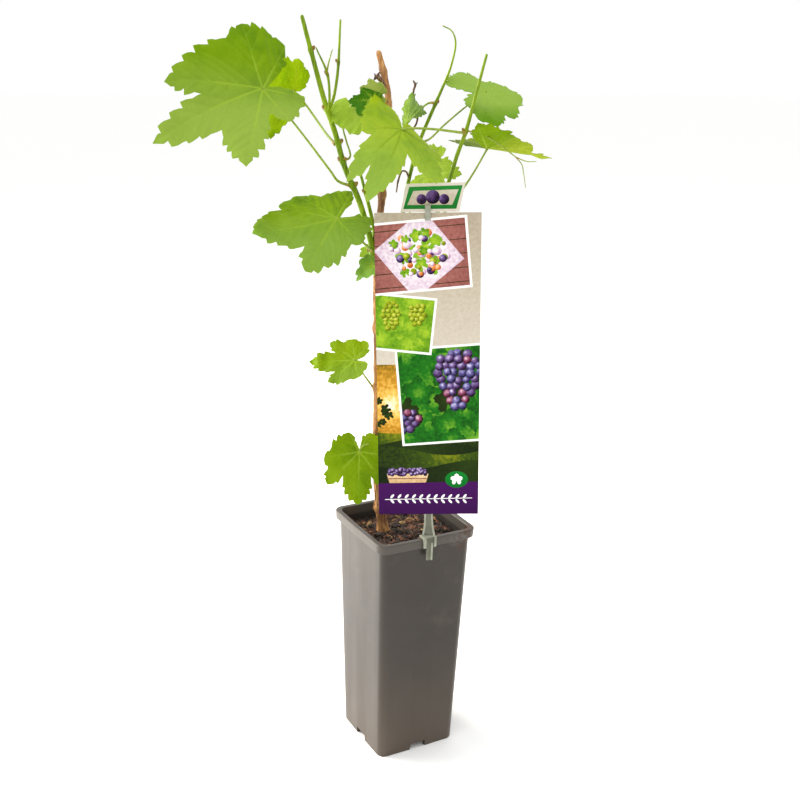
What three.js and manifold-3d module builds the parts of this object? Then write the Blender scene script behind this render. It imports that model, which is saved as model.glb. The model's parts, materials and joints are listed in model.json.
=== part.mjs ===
// A young grapevine in a tall square nursery pot, with the plant label clipped to the rim.
// Millimetres, +Z up. The origin is the middle of the pot's flat underside and the pot's
// front is -Y. The vine spreads in one plane, so it is modelled in a crown frame turned
// about Z: there x runs across the vine, y away from its open side, and z up.
import * as THREE from 'three';
import { mergeVertices } from 'three/addons/utils/BufferGeometryUtils.js';
import Module from 'manifold-3d';

const wasm = await Module();
wasm.setup();

const GAP = 0.3;                        // clearance between touching pieces
const CROWN_TURN = -29.5;               // degrees from the pot's front to the crown's open side
const POT_HEIGHT = 246.4;
const POT_FOOT = 43.9;                  // half width of the underside
const POT_NECK = 50.5;                  // half width just under the rim
const POT_RIM = 55;                     // half width of the rim
const RIM_DROP = 8.9;
const RIM_SKIN = 1.8;
const WALL = 1.5;
const POT_FLOOR = 9;
const POT_CORNER = 8.5;
const FOOT_NOTCH = { width: 18, depth: 6, height: 7, overcut: 4 };
const SOIL_TOP = 232;
const BLADE_SKIN = 1.1;
const STEM_SIDES = 8;
const PETIOLE_SIDES = 6;
const GREEN = 0x7fae2a;
const PALE_GREEN = 0xa5bd3c;
const WOOD = 0xa9713f;
const PLASTIC = 0x4c4a49;
const COMPOST = 0x3b2a20;
const CARD = 0xcfc6b4;
const CLIP = 0xa8ab97;

const radians = THREE.MathUtils.degToRad;
const vine = new THREE.Group();
vine.rotation.z = radians(CROWN_TURN);
const potGroup = new THREE.Group();
const root = new THREE.Group();
root.add(potGroup, vine);

function addMesh(group, name, geometry, color, roughness) {
  const material = new THREE.MeshStandardMaterial({ color, roughness, metalness: 0 });
  const mesh = new THREE.Mesh(geometry, material);
  mesh.name = name;
  group.add(mesh);
  return mesh;
}

// ---- solids: joining and cutting ----

function toSolid(geometry) {
  const bare = geometry.clone();
  bare.deleteAttribute('normal');
  bare.deleteAttribute('uv');
  const merged = mergeVertices(bare, 1e-4);
  return new wasm.Manifold(new wasm.Mesh({
    numProp: 3,
    vertProperties: Float32Array.from(merged.attributes.position.array),
    triVerts: Uint32Array.from(merged.index.array),
  }));
}

function toGeometry(solid) {
  const mesh = solid.getMesh();
  const geometry = new THREE.BufferGeometry();
  geometry.setAttribute('position', new THREE.BufferAttribute(mesh.vertProperties, 3));
  geometry.setIndex(new THREE.BufferAttribute(mesh.triVerts, 1));
  geometry.computeVertexNormals();
  return geometry;
}

// What is left of a piece outside its cutters: only its largest body is kept.
function cutAway(geometry, cutters) {
  let solid = toSolid(geometry);
  for (const cutter of cutters) solid = solid.subtract(toSolid(cutter));
  const bodies = solid.decompose().sort((a, b) => b.volume() - a.volume());
  return toGeometry(bodies[0]);
}

function joinAll(geometries) {
  let solid = toSolid(geometries[0]);
  for (const geometry of geometries.slice(1)) solid = solid.add(toSolid(geometry));
  return toGeometry(solid);
}

function boxAt(width, depth, height, x, y, z) {
  const box = new THREE.BoxGeometry(width, depth, height);
  box.translate(x, y, z);
  return box;
}

// A closed skin through equal rings of points. Each end is a fan, from its first point or,
// where the end isn't convex, from a hub.
function fromRings(rings, hubs = []) {
  const positions = [...rings.flat(), ...hubs].flatMap((p) => [p.x, p.y, p.z]);
  const count = rings[0].length;
  const last = (rings.length - 1) * count;
  const index = [];
  for (let r = 0; r + 1 < rings.length; r += 1) {
    for (let i = 0; i < count; i += 1) {
      const a = r * count + i;
      const b = r * count + ((i + 1) % count);
      index.push(a, b, b + count, a, b + count, a + count);
    }
  }
  const [first, final] = hubs.length ? [last + count, last + count + 1] : [0, last];
  for (let i = hubs.length ? 0 : 1; i < (hubs.length ? count : count - 1); i += 1) {
    const next = (i + 1) % count;
    index.push(first, next, i);
    index.push(final, last + i, last + next);
  }
  const geometry = new THREE.BufferGeometry();
  geometry.setAttribute('position', new THREE.Float32BufferAttribute(positions, 3));
  geometry.setIndex(index);
  return geometry;
}

// ---- pot and root ball ----

function squareRing(half, corner, z) {
  const points = [];
  const stepsPerCorner = 4;
  const centres = [[1, 1], [-1, 1], [-1, -1], [1, -1]];
  centres.forEach(([sx, sy], quarter) => {
    for (let i = 0; i <= stepsPerCorner; i += 1) {
      const turn = (Math.PI / 2) * (quarter + i / stepsPerCorner);
      const x = sx * (half - corner) + corner * Math.cos(turn);
      const y = sy * (half - corner) + corner * Math.sin(turn);
      points.push(new THREE.Vector3(x, y, z));
    }
  });
  return points;
}

function neckAt(z, inset) {
  const share = z / (POT_HEIGHT - RIM_DROP);
  return POT_FOOT + (POT_NECK - POT_FOOT) * share - inset;
}

function buildPot() {
  const skirtFoot = POT_HEIGHT - RIM_DROP;
  const flangeUnder = POT_HEIGHT - RIM_SKIN;
  const outside = [
    squareRing(POT_FOOT, POT_CORNER - 1, 0),
    squareRing(neckAt(flangeUnder, 0), POT_CORNER, flangeUnder),
    squareRing(POT_RIM - RIM_SKIN, POT_CORNER, flangeUnder),
    squareRing(POT_RIM - RIM_SKIN, POT_CORNER, skirtFoot),
    squareRing(POT_RIM, POT_CORNER + 1, skirtFoot),
    squareRing(POT_RIM, POT_CORNER + 1, POT_HEIGHT),
    squareRing(neckAt(POT_HEIGHT, WALL), POT_CORNER - WALL, POT_HEIGHT),
    squareRing(neckAt(POT_FLOOR, WALL), POT_CORNER - WALL, POT_FLOOR),
  ];
  const { width, depth, height, overcut } = FOOT_NOTCH;
  const long = depth + overcut;
  const reach = POT_FOOT + (overcut - depth) / 2;
  const notches = [[1, 0], [-1, 0], [0, 1], [0, -1]].map(([x, y]) => boxAt(
    x === 0 ? width : long, y === 0 ? width : long, height + overcut,
    x * reach, y * reach, (height - overcut) / 2,
  ));
  return cutAway(fromRings(outside), notches);
}

function buildRootBall() {
  const bottom = POT_FLOOR + GAP;
  const rings = [bottom, SOIL_TOP].map((z) => (
    squareRing(neckAt(z, WALL + GAP), POT_CORNER - WALL - GAP, z)));
  return fromRings(rings);
}

addMesh(potGroup, 'pot', buildPot(), PLASTIC, 0.5);
addMesh(potGroup, 'root_ball', buildRootBall(), COMPOST, 0.95);

// ---- woody stem and green shoots ----

// A limb is a tapering tube through its stations, each [x, y, z, radius].
const STEPS_PER_SPAN = 2;
function limbGeometry(stations, sides, grow = 0) {
  const curve = new THREE.CatmullRomCurve3(
    stations.map(([x, y, z]) => new THREE.Vector3(x, y, z)), false, 'centripetal');
  const steps = (stations.length - 1) * STEPS_PER_SPAN;
  const frames = curve.computeFrenetFrames(steps, false);
  const rings = [];
  for (let i = 0; i <= steps; i += 1) {
    const t = i / steps;
    const centre = curve.getPoint(t);
    const span = Math.min(Math.floor(i / STEPS_PER_SPAN), stations.length - 2);
    const share = i / STEPS_PER_SPAN - span;
    const radius = THREE.MathUtils.lerp(stations[span][3], stations[span + 1][3], share) + grow;
    const ahead = curve.getTangent(t);
    const side = frames.normals[Math.round(curveShare(curve, t) * steps)].clone();
    side.addScaledVector(ahead, -side.dot(ahead)).normalize();
    const across = new THREE.Vector3().crossVectors(ahead, side);
    rings.push(Array.from({ length: sides }, (_, k) => {
      const turn = (2 * Math.PI * k) / sides;
      return centre.clone()
        .addScaledVector(side, radius * Math.cos(turn))
        .addScaledVector(across, radius * Math.sin(turn));
    }));
  }
  return fromRings(rings);
}

// The share of the curve's length that lies before parameter t.
const LENGTH_SAMPLES = 200;
function curveShare(curve, t) {
  const lengths = curve.getLengths(LENGTH_SAMPLES);
  return lengths[Math.round(t * LENGTH_SAMPLES)] / lengths[LENGTH_SAMPLES];
}

const TRUNK = [
  [-23.5, 0, SOIL_TOP - 4, 8], [-25, 0, 242, 5.2], [-30, -2, 277, 4.2], [-32, -3, 333, 3.8],
  [-33, -3, 400, 3.6], [-36, -2, 488, 3.4], [-36, -2, 518, 3.4], [-30, -2, 573, 3.2],
  [-26, 1, 640, 3.0], [-27, 2, 664, 2.9], [-36, 4, 699, 2.4],
];
const SHOOTS = {
  shoot_left: {
    from: 'trunk',
    stations: [[-36, -2, 508, 2.9], [-39, -3, 527, 2.8], [-51, 0, 566, 2.7], [-65, 0, 597, 2.6],
      [-75, -3, 631, 2.5], [-82, -4, 650, 2.4], [-96, -7, 699, 2.0], [-104, -9, 728, 1.8]],
  },
  shoot_left_side: {
    from: 'shoot_left',
    stations: [[-81, -4, 648, 1.6], [-77, -3, 656, 1.5], [-73, 0, 678, 1.3], [-71, 4, 726, 0.9]],
  },
  shoot_left_sprig: {
    from: 'shoot_left',
    stations: [[-81, -4, 645, 1.1], [-79, -11, 659, 1.1], [-81, -12, 680, 1.1], [-91, -13, 702, 0.7]],
  },
  shoot_inner: {
    from: 'trunk',
    stations: [[-35, -2, 528, 2.1], [-38, 5, 545, 1.9], [-46, 11, 573, 1.6], [-53, 14, 597, 1.1]],
  },
  shoot_right: {
    from: 'trunk',
    stations: [[-33, -3, 392, 2.7], [-22, -6, 420, 2.6], [7, -7, 514, 2.5], [32, -8, 590, 2.3],
      [38, -8, 612, 2.2], [45, -6, 633, 2.1], [52, -2, 662, 1.8], [61, 4, 700, 1.4]],
  },
  shoot_tendril: {
    from: 'trunk',
    stations: [[-35, -2, 452, 2.2], [-26, 6, 480, 2.1], [-14, 11, 530, 2.0], [-6, 14, 584, 1.8],
      [3, 17, 620, 1.7], [17, 18, 656, 1.5], [30, 18, 690, 1.0], [33, 18, 711, 0.8],
      [29, 16, 720, 0.6], [21, 14, 724, 0.6]],
  },
};

function stationsOf(name) {
  return name === 'trunk' ? TRUNK : SHOOTS[name].stations;
}

const SOIL_CUT = 20;                    // a block under the soil's face that cuts the flare flat
const [[flareX, flareY]] = TRUNK;
const belowSoil = boxAt(
  2 * SOIL_CUT, 2 * SOIL_CUT, SOIL_CUT, flareX, flareY, SOIL_TOP + GAP - SOIL_CUT / 2);
addMesh(vine, 'trunk', cutAway(limbGeometry(TRUNK, STEM_SIDES), [belowSoil]), WOOD, 0.85);
for (const [name, { from, stations }] of Object.entries(SHOOTS)) {
  const limb = limbGeometry(stations, STEM_SIDES);
  const parent = limbGeometry(stationsOf(from), STEM_SIDES, GAP);
  addMesh(vine, name, cutAway(limb, [parent]), GREEN, 0.55);
}

// ---- leaves ----

// A leaf has a middle lobe of length size and three lobes on each side of it. A lobe is
// [angle from the midrib in degrees, length as a share of size], and cuts say how far out
// the notch after each lobe starts, the middle lobe's notch first.
const LOBES = [[46, 0.84], [94, 0.6], [146, 0.44]];
const CUTS = [0.54, 0.46, 0.4];
const HEEL = [171, 0.16];               // the blade's edge beside the petiole
const HEART_NOTCH = 0.05;
const EDGE_SWELL = 0.24;                 // how far a lobe's edges bulge, as a share of their length
const FOLD_WIDTH = 0.05;

// heart: where the petiole meets the blade. turn, dip, roll: heading of the midrib about Z,
// its fall below level, and the blade's roll about the midrib. droop curls the midrib down,
// fold lifts both halves, cup lowers the margin and twist turns the tip. stalk: the petiole's
// stations from the axis of the limb it grows on.
const LEAVES = {
  big_left: {
    heart: [-139, -10, 666], size: 113, turn: -135, dip: 13, roll: -49,
    droop: 0.5, fold: 0.32, cup: 0.05,
    left: [[44, 0.88], [83, 0.4], [145, 0.35]], right: [[25, 0.81], [84, 0.54], [142, 0.6]],
    leftCuts: [0.58, 0.3, 0.3], rightCuts: [0.54, 0.56, 0.45],
    on: 'shoot_left', stalk: [[-58, 0, 580], [-71, -4, 585], [-78, -5, 594], [-114, -2, 638]],
  },
  behind_left: {
    heart: [-111, 44, 656], size: 51, turn: 149, dip: 23, roll: -65, droop: 0.1, fold: 0.37,
    left: [[59, 0.9], [81, 0.58], [146, 0.44]], right: [[36, 0.94], [91, 0.68], [131, 0.46]],
    on: 'shoot_left', stalk: [[-74, -2, 618], [-83, 9, 626], [-105, 38, 650]],
  },
  middle_left: {
    heart: [-71, -22, 553], size: 88, turn: -146, dip: 9, roll: -34,
    droop: -0.2, fold: -0.12, twist: -0.07,
    left: [[39, 0.83], [103, 0.4], [161, 0.4]], right: [[40, 0.62], [71, 0.49], [146, 0.48]],
    leftCuts: [0.55, 0.44, 0.36], rightCuts: [0.58, 0.46, 0.4],
    on: 'shoot_left', stalk: [[-37, -3, 519], [-42, -12, 526], [-54, -21, 538], [-64, -22, 547]],
  },
  mid_small: {
    heart: [-36, -18, 511], size: 26, turn: -150, dip: 32, roll: -30, droop: 0.4, fold: 0.2,
    on: 'trunk', stalk: [[-36, -2, 496], [-35, -10, 500], [-35, -16, 507]],
  },
  inner_left: {
    heart: [-60, 0, 652], size: 36, turn: -80, dip: 32, roll: 29, droop: 0.32, fold: 0.18,
    left: [[48, 0.72], [100, 0.57], [123, 0.76]], right: [[53, 0.62], [105, 0.53], [153, 0.58]],
    on: 'shoot_left', stalk: [[-67, -5, 602], [-60, -2, 606], [-60, 2, 614], [-66, 3, 632]],
  },
  centre_front: {
    heart: [-13, -39, 636], size: 79, turn: -95, dip: 23, roll: -35,
    droop: 0.65, cup: 0.14, twist: 0.44,
    left: [[47, 0.8], [96, 0.59], [151, 0.7]], right: [[21, 0.93], [66, 0.49], [150, 0.61]],
    leftCuts: [0.37, 0.46, 0.4], rightCuts: [0.71, 0.46, 0.4],
    on: 'shoot_right', stalk: [[45, -6, 632], [38, -13, 633], [17, -27, 636], [-4, -36, 637]],
  },
  folded_small: {
    heart: [-9, 20, 637], size: 38, turn: 87, dip: -53, roll: -47, cup: 0.09,
    left: [[17, 0.92], [100, 0.76], [146, 0.43]], right: [[60, 0.86], [88, 0.86], [130, 0.43]],
    on: 'shoot_tendril', stalk: [[17, 18, 656], [11, 19, 656], [0, 20, 647]],
  },
  upper_right: {
    heart: [64, 34, 667], size: 47, turn: -74, dip: 33, roll: -11, droop: 0.12, fold: 0.05,
    left: [[49, 0.77], [89, 0.84], [130, 0.52]], right: [[37, 0.83], [89, 0.85], [140, 0.62]],
    rightCuts: [0.52, 0.36, 0.4],
    on: 'shoot_tendril', stalk: [[3, 17, 620], [12, 20, 623], [26, 27, 636], [47, 33, 654]],
  },
  edge_right: {
    heart: [67, 15, 617], size: 67, turn: 18, dip: 7, roll: -18, droop: 0.09, fold: 0.22,
    left: [[34, 0.75], [94, 0.54], [142, 0.56]], right: [[26, 0.62], [86, 0.51], [124, 0.69]],
    on: 'shoot_right', stalk: [[16, -8, 544], [24, 0, 552], [37, 4, 568], [52, 9, 590]],
  },
  backlit_centre: {
    heart: [14, 28, 592], size: 44, turn: -48, dip: -3, roll: 59, fold: 0.08,
    left: [[36, 0.63], [70, 0.6], [126, 0.68]], right: [[48, 0.73], [100, 0.61], [146, 0.57]],
    on: 'shoot_tendril', stalk: [[-12, 12, 542], [-6, 20, 550], [5, 27, 574]],
  },
  small_left: {
    heart: [-53, 0, 412], size: 46, turn: 165, dip: 9, roll: -49, droop: -0.14, fold: 0.18,
    left: [[51, 0.74], [105, 0.49], [157, 0.34]], right: [[34, 0.69], [88, 0.44], [123, 0.46]],
    on: 'trunk', stalk: [[-33, -3, 384], [-39, -3, 392], [-48, -1, 404]],
  },
  lowest_left: {
    heart: [-46, -18, 319], size: 55, turn: -88, dip: 75, roll: -2, droop: 0.3, fold: 0.16, cup: 0.05,
    left: [[45, 0.83], [100, 0.63], [153, 0.37]], right: [[43, 0.83], [87, 0.64], [152, 0.4]],
    on: 'trunk', stalk: [[-31, -3, 322], [-32, -11, 329], [-38, -16, 329], [-44, -17, 324]],
  },
  back_low: {
    heart: [8, 34, 380], size: 58, turn: 62, dip: 38, roll: 10, droop: 0.35, fold: 0.15, cup: 0.05,
    on: 'trunk', stalk: [[-33, -3, 356], [-26, 6, 362], [-8, 22, 374]],
  },
  back_middle: {
    heart: [24, 38, 470], size: 66, turn: 78, dip: 34, roll: -8, droop: 0.3, fold: 0.18, cup: 0.05,
    on: 'shoot_right', stalk: [[-16, -6, 438], [-8, 8, 446], [10, 26, 462]],
  },
  back_high: {
    heart: [-12, 56, 520], size: 60, turn: 104, dip: 40, roll: 6, droop: 0.35, fold: 0.16, cup: 0.05,
    on: 'shoot_tendril', stalk: [[-20, 9, 500], [-18, 22, 506], [-14, 42, 516]],
  },
};
const STALK_RADIUS = [1.3, 0.85];       // at the limb and under the blade
const SMALL_LEAF = 50;                  // a leaf shorter than this has a slimmer petiole

function polar([degrees, share], size, sign) {
  const angle = radians(degrees) * sign;
  return new THREE.Vector2(size * share * Math.cos(angle), size * share * Math.sin(angle));
}

// Half of the outline from the middle tip back to the heel, as alternating tips and notches.
function sideCorners(lobes, cuts) {
  const tips = [[0, 1], ...lobes];
  const corners = [];
  tips.forEach((tip, i) => {
    corners.push(tip);
    if (i < lobes.length) corners.push([(tip[0] + tips[i + 1][0]) / 2, cuts[i]]);
  });
  return [...corners, HEEL];
}

function leafOutline(leaf) {
  const left = sideCorners(leaf.left ?? LOBES, leaf.leftCuts ?? CUTS);
  const right = sideCorners(leaf.right ?? LOBES, leaf.rightCuts ?? CUTS);
  const corners = [
    ...left.map((corner) => polar(corner, leaf.size, 1)),
    polar([180, HEART_NOTCH], leaf.size, 1),
    ...right.slice(1).reverse().map((corner) => polar(corner, leaf.size, -1)),
  ];
  const heel = left.length - 1;
  return corners.flatMap((from, i) => {
    const to = corners[(i + 1) % corners.length];
    if (i === heel || i === heel + 1) return [from];
    const edge = to.clone().sub(from);
    const middle = from.clone().addScaledVector(edge, 0.5);
    const swell = new THREE.Vector2(edge.y, -edge.x).multiplyScalar(EDGE_SWELL / 2);
    return [from, middle.add(swell)];
  });
}

// The flat blade point (x, y) lifted onto the curled and folded blade.
function bendBlade(leaf, x, y) {
  const { size, droop = 0, fold = 0, cup = 0, twist = 0 } = leaf;
  const along = x / size;
  const out = y / size;
  const curl = Math.abs(droop) < 1e-3 ? 1e-3 : droop;
  const lift = fold * (Math.hypot(out, FOLD_WIDTH) - FOLD_WIDTH);
  const fall = (1 - Math.cos(curl * along)) / curl + cup * (along * along + out * out);
  const turn = twist * along;
  return new THREE.Vector3(
    Math.sin(curl * along) / curl,
    out * Math.cos(turn),
    lift - fall + out * Math.sin(turn),
  ).multiplyScalar(size);
}

function poseOf(leaf) {
  const spin = new THREE.Euler(
    radians(leaf.roll), radians(leaf.dip), radians(leaf.turn), 'ZYX');
  return new THREE.Matrix4().makeRotationFromEuler(spin).setPosition(...leaf.heart);
}

function bladeGeometry(leaf, grow = 0) {
  const outline = leafOutline(leaf);
  const half = BLADE_SKIN / 2 + grow;
  const skin = (share, lift) => outline.map((p) => (
    bendBlade(leaf, p.x * share, p.y * share).add(new THREE.Vector3(0, 0, lift))));
  const rings = [skin(0.5, -half), skin(1, -half), skin(1, half), skin(0.5, half)];
  const hubs = [-half, half].map((lift) => new THREE.Vector3(0, 0, lift));
  return fromRings(rings, hubs).applyMatrix4(poseOf(leaf));
}

for (const [name, leaf] of Object.entries(LEAVES)) {
  addMesh(vine, `leaf_${name}`, bladeGeometry(leaf), GREEN, 0.55);
  const slim = leaf.size < SMALL_LEAF ? 0.8 : 1;
  const [thick, thin] = STALK_RADIUS.map((radius) => radius * slim);
  const path = [...leaf.stalk, leaf.heart];
  const stations = path.map((point, i) => [
    ...point, THREE.MathUtils.lerp(thick, thin, i / (path.length - 1))]);
  const cutters = [limbGeometry(stationsOf(leaf.on), STEM_SIDES, GAP), bladeGeometry(leaf, GAP)];
  addMesh(vine, `petiole_${name}`, cutAway(limbGeometry(stations, PETIOLE_SIDES), cutters),
    PALE_GREEN, 0.5);
}

// ---- plant label: clip on the rim, stick, picture card and header card ----

const CLIP_AT = -2;                     // across the pot's front
const CLIP_WIDTH = 14;
const CLIP_SKIN = 1.8;
const CLIP_INNER_LEG = { width: 9.8, length: 16, bow: 0.6 };
const TONGUE = { width: 6, length: 24 };
const STICK = { foot: 10, tip: 5, skin: 2.4, length: 334 };
const CARD_SIZE = { width: 96, height: 292, skin: 0.8, foot: 24 };
const HEADER_CORNERS = [[-22.5, 0], [34.5, 0], [37.5, 26], [-18.5, 25]];
const TAB = { width: 5, height: 14, skin: 1.2, bridge: 1.6 };
const LABEL_LEAN = -2.2;                // degrees, its top towards the crown's left
const LABEL_INSET = 1.2;                // from the rim's face back to the stick's middle
const LABEL_LIFT = 1;                   // from the clip's top up to the stick's foot

function buildClip() {
  const inner = neckAt(POT_HEIGHT, WALL) - GAP;
  const outer = POT_RIM + GAP;
  const top = POT_HEIGHT + GAP;
  const span = outer - inner + 2 * CLIP_SKIN;
  const legDrop = RIM_DROP + GAP;
  const pieces = [
    boxAt(CLIP_WIDTH, span, CLIP_SKIN, 0, -(inner + outer) / 2, top + CLIP_SKIN / 2),
    boxAt(CLIP_WIDTH, CLIP_SKIN, legDrop + CLIP_SKIN, 0, -outer - CLIP_SKIN / 2,
      top - (legDrop - CLIP_SKIN) / 2),
    boxAt(CLIP_INNER_LEG.width, CLIP_SKIN, CLIP_INNER_LEG.length, 0,
      -inner + CLIP_SKIN / 2 + CLIP_INNER_LEG.bow, top + CLIP_SKIN - CLIP_INNER_LEG.length / 2),
    boxAt(TONGUE.width, CLIP_SKIN, TONGUE.length, 0, -outer - CLIP_SKIN / 2,
      top + CLIP_SKIN - TONGUE.length / 2),
  ];
  return joinAll(pieces).translate(CLIP_AT, 0, 0);
}

const label = new THREE.Group();
const clipTop = POT_HEIGHT + GAP + CLIP_SKIN;
label.position.set(CLIP_AT, LABEL_INSET - POT_RIM, clipTop + LABEL_LIFT);
label.rotation.set(0, radians(LABEL_LEAN), radians(CROWN_TURN), 'ZYX');
root.add(label);

function taperedBar(footWidth, tipWidth, skin, length) {
  const half = skin / 2;
  const section = (width, z) => [
    new THREE.Vector3(width / 2, -half, z), new THREE.Vector3(width / 2, half, z),
    new THREE.Vector3(-width / 2, half, z), new THREE.Vector3(-width / 2, -half, z),
  ];
  return fromRings([section(footWidth, 0), section(tipWidth, length)]);
}

// The stick's tip hooks over the card's top edge and holds the foot of the header card.
const cardBack = -STICK.skin / 2 - GAP;
const cardTop = CARD_SIZE.foot + CARD_SIZE.height;
const tabBack = cardBack - CARD_SIZE.skin - GAP;

function buildStick() {
  const reach = STICK.skin / 2 - tabBack + TAB.skin;
  const bridgeFoot = cardTop + GAP;
  return joinAll([
    taperedBar(STICK.foot, STICK.tip, STICK.skin, STICK.length),
    boxAt(TAB.width, reach, TAB.bridge, 0, STICK.skin / 2 - reach / 2, bridgeFoot + TAB.bridge / 2),
    boxAt(TAB.width, TAB.skin, TAB.height, 0, tabBack - TAB.skin / 2, cardTop),
  ]);
}

function buildHeader() {
  const outline = new THREE.Shape(HEADER_CORNERS.map(([x, y]) => new THREE.Vector2(x, y)));
  const slab = new THREE.ExtrudeGeometry(outline, { depth: CARD_SIZE.skin, bevelEnabled: false });
  slab.rotateX(Math.PI / 2);
  return slab.translate(0, cardBack, cardTop + TAB.bridge + 2 * GAP);
}

addMesh(potGroup, 'label_clip', buildClip(), CLIP, 0.5);
addMesh(label, 'label_stick', buildStick(), CLIP, 0.5);
addMesh(label, 'label_card', boxAt(CARD_SIZE.width, CARD_SIZE.skin, CARD_SIZE.height, 0,
  cardBack - CARD_SIZE.skin / 2, CARD_SIZE.foot + CARD_SIZE.height / 2), CARD, 0.4);
addMesh(label, 'label_header', buildHeader(), CARD, 0.4);

export default root;
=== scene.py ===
import json
import math
import random

import bmesh
import bpy
import numpy as np
from mathutils import Matrix, Vector
from mathutils.geometry import delaunay_2d_cdt
from mathutils.kdtree import KDTree

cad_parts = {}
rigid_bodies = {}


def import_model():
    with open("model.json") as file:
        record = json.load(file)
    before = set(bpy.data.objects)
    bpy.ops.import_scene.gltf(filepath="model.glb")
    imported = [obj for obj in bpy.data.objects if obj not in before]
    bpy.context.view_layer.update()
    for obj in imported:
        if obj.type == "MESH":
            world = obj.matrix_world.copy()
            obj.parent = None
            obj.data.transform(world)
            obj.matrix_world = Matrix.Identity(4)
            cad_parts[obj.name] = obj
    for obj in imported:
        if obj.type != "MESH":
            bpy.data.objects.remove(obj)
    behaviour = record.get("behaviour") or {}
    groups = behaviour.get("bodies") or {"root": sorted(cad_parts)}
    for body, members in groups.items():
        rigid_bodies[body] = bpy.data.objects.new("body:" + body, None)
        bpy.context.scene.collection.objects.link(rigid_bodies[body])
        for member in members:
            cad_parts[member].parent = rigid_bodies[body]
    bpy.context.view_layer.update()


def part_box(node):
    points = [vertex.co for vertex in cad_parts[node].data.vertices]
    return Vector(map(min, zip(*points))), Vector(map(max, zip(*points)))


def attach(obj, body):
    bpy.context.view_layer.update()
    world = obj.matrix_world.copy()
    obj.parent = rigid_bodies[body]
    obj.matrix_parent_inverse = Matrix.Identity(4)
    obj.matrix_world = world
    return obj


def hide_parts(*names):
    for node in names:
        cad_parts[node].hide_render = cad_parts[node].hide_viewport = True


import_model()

# ---- Studio ---------------------------------------------------------------------------
# A pale floor under a white sky. A large soft light behind on the left, a warm wash on the
# floor behind, a smaller light overhead and a weak one in front. The camera looks down.

CAMERA_TURN = math.radians(-29.46)      # about the vertical, from straight in front
CAMERA_DISTANCE = 1.0575                # from the pot's upright axis
CAMERA_HEIGHT = 0.7154
CAMERA_PAN = math.radians(0.41)
CAMERA_DOWN = math.radians(17.96)
CAMERA_ROLL = math.radians(1.71)
CAMERA_LENS = 50.7
FLOOR_REACH = 12.0                      # half its width


def set_down(name, data):
    """A new object in the scene."""
    made = bpy.data.objects.new(name, data)
    bpy.context.scene.collection.objects.link(made)
    return made


def aim_camera():
    heading = CAMERA_TURN + CAMERA_PAN
    level = Vector((-math.sin(heading), math.cos(heading), 0))
    side = Vector((math.cos(heading), math.sin(heading), 0))
    up = Vector((0, 0, 1))
    forward = level * math.cos(CAMERA_DOWN) - up * math.sin(CAMERA_DOWN)
    top = up * math.cos(CAMERA_DOWN) + level * math.sin(CAMERA_DOWN)
    right = side * math.cos(CAMERA_ROLL) + top * math.sin(CAMERA_ROLL)
    crest = top * math.cos(CAMERA_ROLL) - side * math.sin(CAMERA_ROLL)
    camera = set_down("camera", bpy.data.cameras.new("camera"))
    camera.data.lens = CAMERA_LENS
    camera.matrix_world = Matrix.Translation((
        CAMERA_DISTANCE * math.sin(CAMERA_TURN),
        -CAMERA_DISTANCE * math.cos(CAMERA_TURN),
        CAMERA_HEIGHT,
    )) @ Matrix((right, crest, -forward)).transposed().to_4x4()
    bpy.context.scene.camera = camera


def hang_light(name, place, target, size, watts, tone=(1, 1, 1)):
    lamp = bpy.data.lights.new(name, "AREA")
    lamp.shape = "DISK"
    lamp.size = size
    lamp.energy = watts
    lamp.color = tone
    light = set_down(name, lamp)
    light.location = place
    light.rotation_mode = "QUATERNION"
    light.rotation_quaternion = (Vector(target) - Vector(place)).to_track_quat("-Z", "Y")


def add_node(tree, kind, inputs=None, **settings):
    """A node with its settings and inputs; an input is a value or the socket that feeds it."""
    made = tree.nodes.new(kind)
    for key, value in settings.items():
        setattr(made, key, value)
    for key, value in (inputs or {}).items():
        if isinstance(value, bpy.types.NodeSocket):
            tree.links.new(value, made.inputs[key])
        else:
            made.inputs[key].default_value = value
    return made


def colour(red, green, blue):
    """A screen colour from 0 to 255 as the shader's linear colour."""
    parts = [value / 255 for value in (red, green, blue)]
    return (*[p / 12.92 if p <= 0.04045 else ((p + 0.055) / 1.055) ** 2.4 for p in parts], 1.0)


def new_finish(name, roughness=0.5, **sockets):
    """A material with a Principled shader; sockets are fixed values on that shader."""
    finish = bpy.data.materials.new(name)
    finish.use_nodes = True
    shader = finish.node_tree.nodes["Principled BSDF"]
    shader.inputs["Roughness"].default_value = roughness
    for key, value in sockets.items():
        shader.inputs[key.replace("_", " ")].default_value = value
    return finish, finish.node_tree, shader


def paint(tree, shader, tone):
    """Gives the shader its colour."""
    tree.links.new(tone, shader.inputs["Base Color"])


def object_noise(tree, scale, detail=3.0, rough=0.5, stretch=(1, 1, 1)):
    """Noise in the object's own metres; stretch scales its axes."""
    place = add_node(tree, "ShaderNodeTexCoord").outputs["Object"]
    mapped = add_node(tree, "ShaderNodeMapping", {"Vector": place, "Scale": stretch})
    return add_node(tree, "ShaderNodeTexNoise", {
        "Vector": mapped.outputs[0], "Scale": scale, "Detail": detail, "Roughness": rough,
    }).outputs["Fac"]


def colour_steps(tree, factor, steps):
    """A colour ramp; steps are (place, screen colour)."""
    ramp = add_node(tree, "ShaderNodeValToRGB", {"Fac": factor})
    band = ramp.color_ramp
    while len(band.elements) < len(steps):
        band.elements.new(0.5)
    for element, (place, tone) in zip(band.elements, steps):
        element.position = place
        element.color = colour(*tone)
    return ramp.outputs["Color"]


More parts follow.
